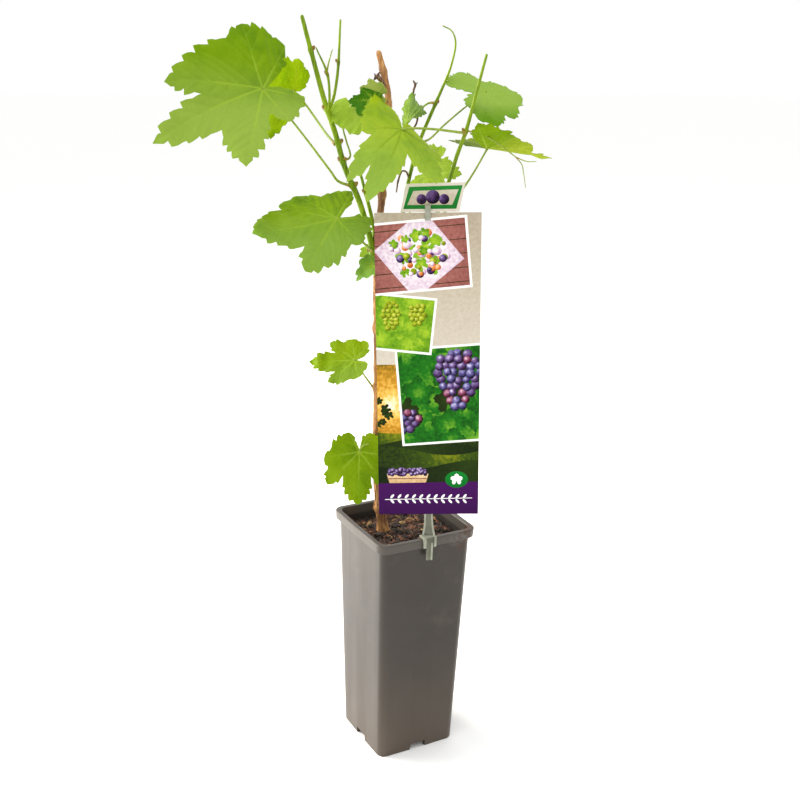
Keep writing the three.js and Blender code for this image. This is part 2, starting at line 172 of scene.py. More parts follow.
def lay_floor():
    finish, tree, shader = new_finish("studio_floor", roughness=0.75)
    tone = colour_steps(tree, object_noise(tree, 3.0), [
        (0.0, (254, 254, 253)), (1.0, (255, 255, 254))])
    paint(tree, shader, tone)
    mesh = bpy.data.meshes.new("floor")
    corners = [(x * FLOOR_REACH, y * FLOOR_REACH, 0)
               for x, y in ((-1, -1), (1, -1), (1, 1), (-1, 1))]
    mesh.from_pydata(corners, [], [(0, 1, 2, 3)])
    mesh.materials.append(finish)
    set_down("floor", mesh)


def light_sky():
    world = bpy.data.worlds.new("studio_sky")
    world.use_nodes = True
    sky = world.node_tree.nodes["Background"]
    sky.inputs["Color"].default_value = (1.0, 1.0, 1.0, 1.0)
    sky.inputs["Strength"].default_value = 1.0
    bpy.context.scene.world = world


bpy.context.scene.view_settings.view_transform = "Standard"
aim_camera()
lay_floor()
light_sky()
hang_light("light_back_left", (-1.6, 1.3, 1.1), (0, 0, 0.3), size=1.3, watts=34)
hang_light("light_floor_wash", (-0.62, 1.05, 0.95), (-0.55, 0.9, 0), size=0.8, watts=32,
           tone=(1, 0.91, 0.8))
hang_light("light_overhead", (-0.3, -0.2, 2.1), (0, 0, 0.4), size=1.0, watts=10)
hang_light("light_front", (0.6, -1.9, 1.3), (0, 0, 0.4), size=1.0, watts=2)

# ---- Nursery pot ----------------------------------------------------------------------
# Thin-walled tall square pot of dark grey polypropylene, injection moulded: a turned-down
# rim, rounded upright corners, a raised floor, and a notch in the middle of each foot edge.

mm = 0.001
pot_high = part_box("pot")[1]
POT_TOP = pot_high.z
RIM_HALF = pot_high.x
FOOT_HALF = 43.9 * mm
NECK_HALF = 50.5 * mm                   # half width just under the rim
RIM_DROP = 8.9 * mm
RIM_WIDTH = 1.8 * mm
POT_WALL = 1.5 * mm
FOOT_EDGE = 4 * mm                      # width of the edge that it stands on
FOOT_RECESS = 6 * mm                    # height of the hollow under the raised floor
FLOOR_TOP = 9 * mm
FLOOR_HALF = 10 * mm                    # half the flat middle of the floor
CORNER_RADIUS = 8.5 * mm
FACE_BOW = 0.5 * mm                     # how far a face swells between its corners
NOTCH_WIDTH = 18 * mm
NOTCH_HEIGHT = 7 * mm
RIM_PAINTED_LIGHT_FROM = 236 * mm                 # the rim has a painted highlight, lighter above this
RIM_PAINTED_LIGHT_FULL = 238.5 * mm
DUST_TOP = 130 * mm                     # where the dust low down ends
RIM_MARKS = [                           # place, reach, grain and tone: wet soil, then a scuff
    ((50 * mm, -53 * mm, 238 * mm), 24 * mm, 110, (70, 42, 28)),
    ((33 * mm, -55 * mm, 240 * mm), 13 * mm, 300, (88, 85, 82))]


def square_ring(half, corner, z, bow=0.0, corner_steps=8, side_steps=10):
    """Points round a square with round corners, anticlockwise from above."""
    points = []
    for quarter, (sx, sy) in enumerate([(1, 1), (-1, 1), (-1, -1), (1, -1)]):
        for step in range(corner_steps + 1):
            turn = math.pi / 2 * (quarter + step / corner_steps)
            points.append(Vector((sx * (half - corner) + corner * math.cos(turn),
                                  sy * (half - corner) + corner * math.sin(turn), z)))
        facing = quarter + 1
        out = Vector((math.cos(facing * math.pi / 2), math.sin(facing * math.pi / 2), 0))
        start = points[-1]
        run = Vector((-out.y, out.x, 0)) * 2 * (half - corner)
        for step in range(1, side_steps):
            share = step / side_steps
            points.append(start + run * share + out * bow * math.sin(math.pi * share) ** 2)
    return points


def skin_rings(rings):
    """Vertices and faces of the skin through equal rings, capped at both ends."""
    count = len(rings[0])
    last = (len(rings) - 1) * count
    faces = []
    for low in range(0, last, count):
        high = low + count
        faces += [(low + i, low + (i + 1) % count, high + (i + 1) % count, high + i)
                  for i in range(count)]
    faces.append(tuple(reversed(range(count))))
    faces.append(tuple(range(last, last + count)))
    return [point for ring in rings for point in ring], faces


def new_piece(name, vertices, faces, *finishes):
    mesh = bpy.data.meshes.new(name)
    mesh.from_pydata([tuple(v) for v in vertices], [], faces)
    for finish in finishes:
        mesh.materials.append(finish)
    mesh.shade_smooth()
    return set_down(name, mesh)


def settle(piece):
    """Turns a piece and its live modifiers into a plain mesh."""
    graph = bpy.context.evaluated_depsgraph_get()
    mesh = bpy.data.meshes.new_from_object(piece.evaluated_get(graph))
    piece.modifiers.clear()
    piece.data = mesh
    return piece


def sharpen(piece, degrees):
    piece.data.shade_smooth()
    piece.data.set_sharp_from_angle(angle=math.radians(degrees))


def wall_half(z):
    """Half width of the pot's outer face at height z."""
    return FOOT_HALF + (NECK_HALF - FOOT_HALF) * z / (POT_TOP - RIM_DROP)


def soften(profile, steps=4):
    """Rounds the corners of a profile of (half, z, corner radius) points."""
    soft = []
    for i, (half, z, radius) in enumerate(profile):
        here = Vector((half, z))
        if radius == 0 or i in (0, len(profile) - 1):
            soft.append(here)
            continue
        before = Vector(profile[i - 1][:2]) - here
        after = Vector(profile[i + 1][:2]) - here
        start = here + before.normalized() * min(radius, before.length / 2)
        end = here + after.normalized() * min(radius, after.length / 2)
        for step in range(steps + 1):
            share = step / steps
            soft.append(start * (1 - share) ** 2 + here * 2 * share * (1 - share) + end * share ** 2)
    return soft


def reckon(tree, operation, *values):
    """The result of a Math node."""
    return add_node(tree, "ShaderNodeMath", dict(enumerate(values)), operation=operation).outputs[0]


def blend_colours(tree, factor, first, second, mode="MIX"):
    """Blends two colours, each a socket or a screen colour."""
    tones = [colour(*tone) if isinstance(tone, tuple) else tone for tone in (first, second)]
    return add_node(tree, "ShaderNodeMix", {0: factor, 6: tones[0], 7: tones[1]},
                    data_type="RGBA", blend_type=mode).outputs[2]


def ranged(tree, value, low, high, to_low=0.0, to_high=1.0):
    """value mapped from low..high to to_low..to_high, held at the ends."""
    return add_node(tree, "ShaderNodeMapRange", {
        "Value": value, "From Min": low, "From Max": high, "To Min": to_low, "To Max": to_high,
    }).outputs["Result"]


def add_bump(tree, shader, height, depth, strength=1.0):
    bump = add_node(tree, "ShaderNodeBump", {
        "Height": height, "Distance": depth, "Strength": strength})
    if shader.inputs["Normal"].is_linked:
        tree.links.new(shader.inputs["Normal"].links[0].from_socket, bump.inputs["Normal"])
    tree.links.new(bump.outputs["Normal"], shader.inputs["Normal"])


def pot_finish():
    finish, tree, shader = new_finish(
        "grey_polypropylene", roughness=0.36, Specular_IOR_Level=0.4, Specular_Tint=(1, 0.9, 0.8, 1))
    cloud = object_noise(tree, 14, detail=4)
    tone = colour_steps(tree, cloud, [(0.3, (42, 39, 37)), (0.7, (50, 47, 44))])
    # a painted highlight makes the rim lighter; dust leaves a pale bloom low down and smudges above it
    place = add_node(tree, "ShaderNodeTexCoord").outputs["Object"]
    height = add_node(tree, "ShaderNodeSeparateXYZ", {"Vector": place}).outputs["Z"]
    rim_painted_light = ranged(tree, height, RIM_PAINTED_LIGHT_FROM, RIM_PAINTED_LIGHT_FULL, 0.0, 0.4)
    # painted highlight: the rim blended towards a lighter grey
    tone = blend_colours(tree, rim_painted_light, tone, (96, 91, 86))
    low_dust = ranged(tree, height, 0.0, DUST_TOP, 0.32, 0.0)
    smudge = ranged(tree, object_noise(tree, 22, detail=6, rough=0.65), 0.55, 0.75, 0.0, 0.22)
    dust = reckon(tree, "MAXIMUM", low_dust, smudge)
    tone = blend_colours(tree, dust, tone, (112, 96, 80))
    for spot, reach, grain, stain in RIM_MARKS:
        gap = add_node(tree, "ShaderNodeVectorMath", {0: place, 1: spot}, operation="DISTANCE")
        near = ranged(tree, gap.outputs["Value"], reach * 0.3, reach, 1.0, 0.0)
        patch = ranged(tree, object_noise(tree, grain, detail=4, rough=0.7), 0.44, 0.54)
        tone = blend_colours(tree, reckon(tree, "MULTIPLY", near, patch), tone, stain)
    paint(tree, shader, tone)
    streak = object_noise(tree, 60, detail=3, stretch=(1, 1, 0.15))
    tree.links.new(ranged(tree, streak, 0.2, 0.8, 0.3, 0.42), shader.inputs["Roughness"])
    add_bump(tree, shader, object_noise(tree, 900, detail=2), 0.00012, 0.25)
    add_bump(tree, shader, object_noise(tree, 9, detail=1), 0.004, 0.12)
    return finish


def notch_cutter(quarter):
    """A block through the middle of one bottom edge."""
    half = NOTCH_WIDTH / 2
    outer, inner = -FOOT_HALF - 3 * mm, -FOOT_HALF + 6 * mm
    plan = [(-half, outer), (half, outer), (half, inner), (-half, inner)]
    spin = Matrix.Rotation(quarter * math.pi / 2, 3, "Z")
    corners = [spin @ Vector((x, y, z)) for z in (-1 * mm, NOTCH_HEIGHT) for x, y in plan]
    sides = [(0, 1, 5, 4), (1, 2, 6, 5), (2, 3, 7, 6), (3, 0, 4, 7), (3, 2, 1, 0), (4, 5, 6, 7)]
    return new_piece(f"notch_{quarter}", corners, sides)


def mould_pot():
    skirt = POT_TOP - RIM_DROP
    under = POT_TOP - RIM_WIDTH
    outside = soften([
        (FOOT_HALF - FOOT_EDGE, 0, 0), (FOOT_HALF, 0, 1 * mm),
        (wall_half(under), under, 0.6 * mm), (RIM_HALF - RIM_WIDTH, under, 0.5 * mm),
        (RIM_HALF - RIM_WIDTH, skirt, 0.4 * mm), (RIM_HALF - 0.5 * mm, skirt, 0.6 * mm),
        (RIM_HALF, POT_TOP, 1.1 * mm), (wall_half(POT_TOP) - POT_WALL, POT_TOP, 0.9 * mm),
        (wall_half(FLOOR_TOP) - POT_WALL, FLOOR_TOP, 2 * mm), (FLOOR_HALF, FLOOR_TOP, 0),
    ])
    underside = soften([
        (FLOOR_HALF, FOOT_RECESS, 0), (FOOT_HALF - FOOT_EDGE - 1 * mm, FOOT_RECESS, 1.5 * mm),
        (FOOT_HALF - FOOT_EDGE, 0.3 * mm, 0),
    ])
    rings = []
    for half, z in outside:
        corner = CORNER_RADIUS + (half - wall_half(z)) * 0.6
        rings.append(square_ring(half, min(max(corner, 3 * mm), half), z, bow=FACE_BOW))
    inner = [square_ring(half, min(5 * mm, half), z) for half, z in underside]
    vertices, faces = skin_rings([*inner, *rings])
    pot = new_piece("nursery_pot", vertices, faces, pot_finish())
    for quarter in range(4):
        cutter = notch_cutter(quarter)
        knife = pot.modifiers.new("notch", "BOOLEAN")
        knife.object = cutter
        knife.solver = "EXACT"
        settle(pot)
        bpy.data.objects.remove(cutter)
    sharpen(pot, 40)
    return pot


pot = mould_pot()
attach(pot, "root")
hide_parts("pot")

# ---- Compost --------------------------------------------------------------------------
# Peat and composted bark filled to about 14 mm under the rim. Its face is lumpy and covered
# in loose bark chips, a few reddish, with pale flecks of wood between them.

soil_low, soil_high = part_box("root_ball")
SOIL_TOP = soil_high.z
SOIL_HALF = soil_high.x
SOIL_SINK = 1.5 * mm                    # how far the face lies under the CAD's, on the whole
LUMP_RISE = 1.3 * mm
CRUMB_RISE = 0.6 * mm
COMPOST_TAPER = 0.87                    # its width at the bottom, as a share of that at the top
FACE_RINGS = 26
CHIP_COUNT = 1500
CHIP_KINDS = 7
CHIP_MARGIN = 4.5 * mm                  # kept free beside the pot's walls


def smooth_noise(seed, waves=7, pitch=18 * mm):
    """A sum of plane waves: a smooth uneven height from about -1 to 1 at any (x, y)."""
    draw = random.Random(seed)
    terms = []
    for _ in range(waves):
        turn = draw.uniform(0, 2 * math.pi)
        rate = 2 * math.pi / (pitch * draw.uniform(0.5, 1.6))
        terms.append((rate * math.cos(turn), rate * math.sin(turn), draw.uniform(0, 2 * math.pi)))

    def height(x, y):
        return sum(math.sin(a * x + b * y + c) for a, b, c in terms) / waves * 1.6
    return height


soil_lumps = smooth_noise(3)


def soil_height(x, y):
    """The height of the compost's face without its finest crumbs."""
    return SOIL_TOP - SOIL_SINK + LUMP_RISE * soil_lumps(x, y)


def compost_finish():
    finish, tree, shader = new_finish("damp_peat", roughness=0.92)
    fine = object_noise(tree, 420, detail=5, rough=0.7)
    tone = colour_steps(tree, fine, [
        (0.3, (18, 12, 8)), (0.55, (40, 27, 18)), (0.8, (70, 48, 32))])
    paint(tree, shader, tone)
    add_bump(tree, shader, fine, 0.0012, 0.8)
    return finish


def stored(tree, name):
    """An attribute that the piece carries."""
    return add_node(tree, "ShaderNodeAttribute", attribute_name=name).outputs["Fac"]


def chip_finish():
    """Bark chips: each takes its tone from its own number, tint."""
    finish, tree, shader = new_finish("bark_chips", roughness=0.85)
    tint = stored(tree, "tint")
    base = colour_steps(tree, tint, [
        (0.0, (22, 14, 10)), (0.35, (44, 29, 20)), (0.65, (68, 44, 30)),
        (0.85, (96, 56, 38)), (0.95, (122, 84, 54)), (1.0, (176, 146, 96))])
    grain = object_noise(tree, 700, detail=4, stretch=(1, 1, 0.4))
    tone = blend_colours(tree, ranged(tree, grain, 0.3, 0.7, 0.0, 0.55), base,
                         (30, 19, 13), "MULTIPLY")
    paint(tree, shader, blend_colours(tree, 0.55, tone, base))
    add_bump(tree, shader, grain, 0.0005, 0.7)
    return finish


def heap_compost():
    """The compost with its uneven face, as a closed block down to the pot's floor."""
    crumbs = smooth_noise(8, waves=9, pitch=5 * mm)
    rings = [square_ring(SOIL_HALF * COMPOST_TAPER, 5 * mm, soil_low.z),
             square_ring(SOIL_HALF, 6 * mm, SOIL_TOP - 4 * mm)]
    for step in range(FACE_RINGS, 0, -1):
        half = SOIL_HALF * (1 - (1 - step / FACE_RINGS) ** 1.15)
        ring = square_ring(max(half, 0.4 * mm), min(6.5 * mm, half * 0.5), SOIL_TOP)
        rings.append([Vector((p.x, p.y, soil_height(p.x, p.y) + CRUMB_RISE * crumbs(p.x, p.y)))
                      for p in ring])
    vertices, faces = skin_rings(rings)
    return new_piece("compost", vertices, faces, compost_finish())


def chip_shapes():
    """A few bark chips of unit length and different outlines, in a collection to scatter."""
    shapes = bpy.data.collections.new("chips")
    draw = random.Random(21)
    for kind in range(CHIP_KINDS):
        width = draw.uniform(0.35, 0.8)
        thick = draw.uniform(0.16, 0.34)
        sides = 8
        rings = []
        for spread, lift in ((0.7, -1), (1.0, -0.4), (0.96, 0.45), (0.66, 1)):
            ring = []
            for i in range(sides):
                turn = 2 * math.pi * (i + draw.uniform(-0.25, 0.25)) / sides
                wide = spread * draw.uniform(0.78, 1.12)
                curl = 0.075 * math.cos(turn) ** 2
                ring.append(Vector((0.5 * wide * math.cos(turn),
                                    width / 2 * wide * math.sin(turn),
                                    thick / 2 * lift + curl)))
            rings.append(ring)
        vertices, faces = skin_rings(rings)
        chip = new_piece(f"chip_{kind}", vertices, faces)
        chip.data.shade_flat()
        bpy.context.scene.collection.objects.unlink(chip)
        shapes.objects.link(chip)
    return shapes


def name_input(tree, name, kind, default):
    """Adds a named input to a tree and returns its identifier."""
    socket = tree.interface.new_socket(name=name, in_out="INPUT", socket_type=kind)
    if default is not None:
        socket.default_value = default
    return socket.identifier


def new_geometry_tree(name, inputs):
    """A node tree with a geometry input and output and named inputs: (name, kind, default)."""
    tree = bpy.data.node_groups.new(name, "GeometryNodeTree")
    tree.interface.new_socket(name="Geometry", in_out="INPUT", socket_type="NodeSocketGeometry")
    ids = {label: name_input(tree, label, kind, default) for label, kind, default in inputs}
    tree.interface.new_socket(name="Geometry", in_out="OUTPUT", socket_type="NodeSocketGeometry")
    entry = tree.nodes.new("NodeGroupInput")
    return tree, ids, entry.outputs


def finish_tree(tree, geometry, material):
    """Ends a tree: instances realized, material set."""
    real = add_node(tree, "GeometryNodeRealizeInstances", {"Geometry": geometry})
    dressed = add_node(tree, "GeometryNodeSetMaterial", {
        "Geometry": real.outputs[0], "Material": material})
    add_node(tree, "NodeGroupOutput", {"Geometry": dressed.outputs[0]})


def run_tree(piece, tree, ids, **values):
    """Runs a tree on a piece with its inputs set by identifier, and settles the result."""
    modifier = piece.modifiers.new(tree.name, "NODES")
    modifier.node_group = tree
    for label, value in values.items():
        modifier[ids[label.replace("_", " ")]] = value
    return settle(piece)


def mark(tree, geometry, name, value, domain="POINT"):
    """Stores a value on the geometry as an attribute."""
    return add_node(tree, "GeometryNodeStoreNamedAttribute", {
        "Geometry": geometry, "Name": name, "Value": value},
        data_type="FLOAT", domain=domain).outputs[0]


def scatter_tree():
    """Chips scattered over a face: loose, turned every way, each with its own tint."""
    tree, ids, given = new_geometry_tree("scatter_chips", [
        ("Chips", "NodeSocketCollection", None), ("Density", "NodeSocketFloat", 1e5),
        ("Smallest", "NodeSocketFloat", 3 * mm), ("Largest", "NodeSocketFloat", 9 * mm),
        ("Lift", "NodeSocketFloat", 0.5 * mm), ("Seed", "NodeSocketInt", 5),
        ("Finish", "NodeSocketMaterial", None)])
    spread = add_node(tree, "GeometryNodeDistributePointsOnFaces", {
        "Mesh": given["Geometry"], "Density": given["Density"], "Seed": given["Seed"]})
    kinds = add_node(tree, "GeometryNodeCollectionInfo", {
        "Collection": given["Chips"], "Separate Children": True, "Reset Children": True})
    size = add_node(tree, "FunctionNodeRandomValue", {
        2: given["Smallest"], 3: given["Largest"], "Seed": 11}, data_type="FLOAT")
    turn = add_node(tree, "FunctionNodeRandomValue", {
        0: (-0.5, -0.5, 0.0), 1: (0.5, 0.5, 2 * math.pi), "Seed": 12}, data_type="FLOAT_VECTOR")
    pick = add_node(tree, "FunctionNodeRandomValue", {
        4: 0, 5: CHIP_KINDS - 1, "Seed": 13}, data_type="INT")
    placed = add_node(tree, "GeometryNodeInstanceOnPoints", {
        "Points": spread.outputs["Points"], "Instance": kinds.outputs[0],
        "Pick Instance": True, "Instance Index": pick.outputs[2],
        "Rotation": turn.outputs[0], "Scale": size.outputs[1]})
    up = add_node(tree, "ShaderNodeCombineXYZ", {"Z": given["Lift"]})
    lifted = add_node(tree, "GeometryNodeTranslateInstances", {
        "Instances": placed.outputs[0], "Translation": up.outputs[0], "Local Space": False})
    tint = add_node(tree, "FunctionNodeRandomValue", {2: 0.0, 3: 1.0, "Seed": 14}, data_type="FLOAT")
    marked = mark(tree, lifted.outputs[0], "tint", tint.outputs[1], "INSTANCE")
    finish_tree(tree, marked, given["Finish"])
    return tree, ids


def scatter_chips():
    """Two sizes of chips over the compost's face, kept off the pot's walls."""
    reach = SOIL_HALF - CHIP_MARGIN
    cells = 14
    spots = [(-reach + 2 * reach * i / cells, -reach + 2 * reach * j / cells)
             for j in range(cells + 1) for i in range(cells + 1)]
    vertices = [Vector((x, y, soil_height(x, y))) for x, y in spots]
    row = cells + 1
    faces = [(j * row + i, j * row + i + 1, (j + 1) * row + i + 1, (j + 1) * row + i)
             for j in range(cells) for i in range(cells)]
    shapes = chip_shapes()
    tree, ids = scatter_tree()
    finish = chip_finish()
    area = (2 * reach) ** 2
    made = []
    for name, share, small, large, lift, seed in [
            ("bark_chips", 0.3, 5 * mm, 12 * mm, 0.8 * mm, 5),
            ("compost_crumbs", 0.7, 1.5 * mm, 5 * mm, 0.5 * mm, 6)]:
        bed = new_piece(name, vertices, faces)
        made.append(run_tree(bed, tree, ids, Chips=shapes, Density=CHIP_COUNT * share / area,
                             Smallest=small, Largest=large, Lift=lift, Seed=seed, Finish=finish))
    for chip in list(shapes.objects):
        bpy.data.objects.remove(chip)
    bpy.data.collections.remove(shapes)
    return made


compost = heap_compost()
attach(compost, "root")
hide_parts("root_ball")
for loose in scatter_chips():
    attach(loose, "root")
    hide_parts("root_ball")

# ---- Woody stem -----------------------------------------------------------------------
# Last year's cane, rooted in the compost and pruned off at the top: tan wood under thin
# brown bark that splits lengthwise and peels in strips, swollen and darker at its nodes.

CROWN_TURN = math.radians(-29.5)        # the vine spreads across this heading
TRUNK_PATH = [                          # across, away, up and radius, in millimetres
    (-21.5, 0, 232.3, 7.2), (-22.5, 0, 242, 5.2), (-27, -2, 277, 4.2), (-29.5, -3, 333, 3.8),
    (-30.3, -3, 400, 3.6), (-33, -2, 488, 3.4), (-33.3, -2, 518, 3.4), (-30, -2, 573, 3.2),
    (-26, 1, 640, 3.0), (-27, 2, 664, 2.9), (-36, 4, 699, 2.4)]
TRUNK_NODES = [258, 322, 386, 446, 504, 574, 640, 684]   # heights of its swollen nodes


def in_crown(x, y, z):
    """A point across, away and up in the crown's own plane, in millimetres, to the frame."""
    cos, sin = math.cos(CROWN_TURN), math.sin(CROWN_TURN)
    return Vector((x * cos - y * sin, x * sin + y * cos, z)) * mm


def smooth_path(stations, pitch):
    """A centripetal curve through (x, y, z, radius) stations, with a point about each pitch."""
    knots = [np.array(s, float) for s in stations]
    ends = [2 * knots[0] - knots[1], *knots, 2 * knots[-1] - knots[-2]]
    path = []
    for a, b, c, d in zip(ends, ends[1:], ends[2:], ends[3:]):
        gaps = [max(np.linalg.norm(q[:3] - p[:3]), 1e-4) ** 0.5
                for p, q in ((a, b), (b, c), (c, d))]
        leave = ((b - a) / gaps[0] - (c - a) / (gaps[0] + gaps[1]) + (c - b) / gaps[1]) * gaps[1]
        arrive = ((c - b) / gaps[1] - (d - b) / (gaps[1] + gaps[2]) + (d - c) / gaps[2]) * gaps[1]
        steps = max(2, round(np.linalg.norm(c[:3] - b[:3]) / pitch))
        for step in range(steps):
            t = step / steps
            point = b + leave * t + (3 * (c - b) - 2 * leave - arrive) * t ** 2 \
                + (2 * (b - c) + leave + arrive) * t ** 3
            point[3] = b[3] + (c[3] - b[3]) * t
            path.append(point)
    path.append(knots[-1])
    return np.array(path)


def run_along(path):
    """How far along a path each of its points lies, in mm."""
    gaps = np.linalg.norm(np.diff(path[:, :3], axis=0), axis=1)
    return np.concatenate([[0], np.cumsum(gaps)])


def swell(path, nodes, rise, reach):
    """Thickens a path by the share rise round each node, given as a place along it in mm."""
    run = run_along(path)
    for node in nodes:
        path[:, 3] *= 1 + rise * np.exp(-((run - node) / reach) ** 2)
    return path


def round_tip(path):
    """Closes the end of a path to a blunt round tip."""
    tip, radius = path[-1][:3], path[-1][3]
    ahead = tip - path[-2][:3]
    ahead = ahead / np.linalg.norm(ahead)
    extra = [np.array([*(tip + ahead * radius * math.sin(a)), radius * math.cos(a)])
             for a in (0.5, 0.95, 1.3, 1.5)]
    return np.array([*path, *extra])


def along_heights(path, heights):
    """Where along a rising path its points at these heights lie, in mm."""
    return [float(np.interp(height, path[:, 2], run_along(path))) for height in heights]


def store(piece, name, values, domain="POINT"):
    """Gives a piece's mesh an attribute, for its finish or its node tree."""
    made = piece.data.attributes.new(name, "FLOAT", domain)
    made.data.foreach_set("value", values)


def lay_path(name, paths):
    """A wire piece of one or more paths; each point carries its radius as thick."""
    vertices, edges, thick = [], [], []
    for path in paths:
        first = len(vertices)
        vertices += [in_crown(*point[:3]) for point in path]
        edges += [(first + i, first + i + 1) for i in range(len(path) - 1)]
        thick += [point[3] * mm for point in path]
    mesh = bpy.data.meshes.new(name)
    mesh.from_pydata([tuple(v) for v in vertices], edges, [])
    wire = set_down(name, mesh)
    store(wire, "thick", thick)
    return wire


def carried(tree, name):
    """An attribute that the geometry carries."""
    return add_node(tree, "GeometryNodeInputNamedAttribute", {"Name": name},
                    data_type="FLOAT").outputs[0]


def limb_tree():
    """A limb round a path: a tube of the path's own thickness, with ridges that run along it
    and lumps drawn out lengthwise. It leaves the attributes round and along for finishes."""
    tree, ids, given = new_geometry_tree("limb", [
        ("Sides", "NodeSocketInt", 16), ("Ridges", "NodeSocketInt", 0),
        ("Ridge Depth", "NodeSocketFloat", 0.0), ("Lump Depth", "NodeSocketFloat", 0.0),
        ("Lump Length", "NodeSocketFloat", 8 * mm), ("Lumps Round", "NodeSocketFloat", 1.5),
        ("Seed", "NodeSocketInt", 1), ("Finish", "NodeSocketMaterial", None)])
    wire = add_node(tree, "GeometryNodeMeshToCurve", {"Mesh": given["Geometry"]})
    spot = add_node(tree, "GeometryNodeSplineParameter")
    marked = mark(tree, wire.outputs[0], "along", spot.outputs["Length"])
    section = add_node(tree, "GeometryNodeCurvePrimitiveCircle", {
        "Resolution": given["Sides"], "Radius": 1.0})
    around = add_node(tree, "GeometryNodeSplineParameter")
    section = mark(tree, section.outputs[0], "round", around.outputs["Factor"])
    tube = add_node(tree, "GeometryNodeCurveToMesh", {
        "Curve": marked, "Profile Curve": section, "Scale": carried(tree, "thick"),
        "Fill Caps": True})
    angle = reckon(tree, "MULTIPLY", carried(tree, "round"), 2 * math.pi)
    drawn = reckon(tree, "DIVIDE", carried(tree, "along"), given["Lump Length"])
    seed = reckon(tree, "ADD", drawn, given["Seed"])
    flat = add_node(tree, "ShaderNodeCombineXYZ", {
        "X": reckon(tree, "COSINE", angle), "Y": reckon(tree, "SINE", angle)})
    spread = add_node(tree, "ShaderNodeVectorMath", {
        0: flat.outputs[0], "Scale": given["Lumps Round"]}, operation="SCALE")
    deep = add_node(tree, "ShaderNodeCombineXYZ", {"Z": seed})
    where = add_node(tree, "ShaderNodeVectorMath", {
        0: spread.outputs[0], 1: deep.outputs[0]}, operation="ADD")
    lumps = add_node(tree, "ShaderNodeTexNoise", {
        "Vector": where.outputs[0], "Scale": 1.0, "Detail": 3.0, "Roughness": 0.6})
    centred = reckon(tree, "SUBTRACT", lumps.outputs[0], 0.5)
    lump = reckon(tree, "MULTIPLY", centred, given["Lump Depth"])
    wave = reckon(tree, "COSINE", reckon(tree, "MULTIPLY", angle, given["Ridges"]))
    ridge = reckon(tree, "MULTIPLY", wave, given["Ridge Depth"])
    raised = reckon(tree, "ADD", lump, ridge)
    out = add_node(tree, "GeometryNodeInputNormal")
    shift = add_node(tree, "ShaderNodeVectorMath", {
        0: out.outputs[0], "Scale": raised}, operation="SCALE")
    shaped = add_node(tree, "GeometryNodeSetPosition", {
        "Geometry": tube.outputs[0], "Offset": shift.outputs[0]})
    smooth = add_node(tree, "GeometryNodeSetShadeSmooth", {
        "Geometry": shaped.outputs[0], "Shade Smooth": True})
    finish_tree(tree, smooth.outputs[0], given["Finish"])
    return tree, ids


limb_nodes, limb_inputs = limb_tree()


def grow_limb(name, paths, finish, **values):
    """A piece of one or more limbs; values are inputs of the limb tree."""
    return run_tree(lay_path(name, paths), limb_nodes, limb_inputs, Finish=finish, **values)


def woody_finish():
    finish, tree, shader = new_finish("peeling_bark", roughness=0.72)
    fibre = object_noise(tree, 520, detail=5, rough=0.65, stretch=(1, 1, 0.09))
    patch = object_noise(tree, 90, detail=3, rough=0.6, stretch=(1, 1, 0.3))
    wood = colour_steps(tree, fibre, [
        (0.3, (132, 86, 44)), (0.5, (176, 124, 68)), (0.72, (206, 160, 100))])
    old = colour_steps(tree, fibre, [
        (0.32, (74, 46, 28)), (0.6, (122, 80, 48)), (0.75, (160, 114, 72))])
    tone = blend_colours(tree, ranged(tree, patch, 0.5, 0.62, 0.0, 0.8), wood, old)
    lump = stored(tree, "knot")
    tone = blend_colours(tree, ranged(tree, lump, 0.1, 0.9, 0.0, 0.6), tone, (70, 42, 26))
    paint(tree, shader, tone)
    add_bump(tree, shader, fibre, 0.0005, 0.7)
    return finish


def mark_knots(piece, knots, reach):
    """Stores how near each vertex is to a node of the limb, for the finish."""
    spots = np.array([tuple(in_crown(*knot)) for knot in knots])
    co = np.zeros(len(piece.data.vertices) * 3)
    piece.data.vertices.foreach_get("co", co)
    gaps = np.linalg.norm(co.reshape(-1, 1, 3) - spots[None], axis=2).min(axis=1)
    store(piece, "knot", np.exp(-(gaps / reach) ** 2))


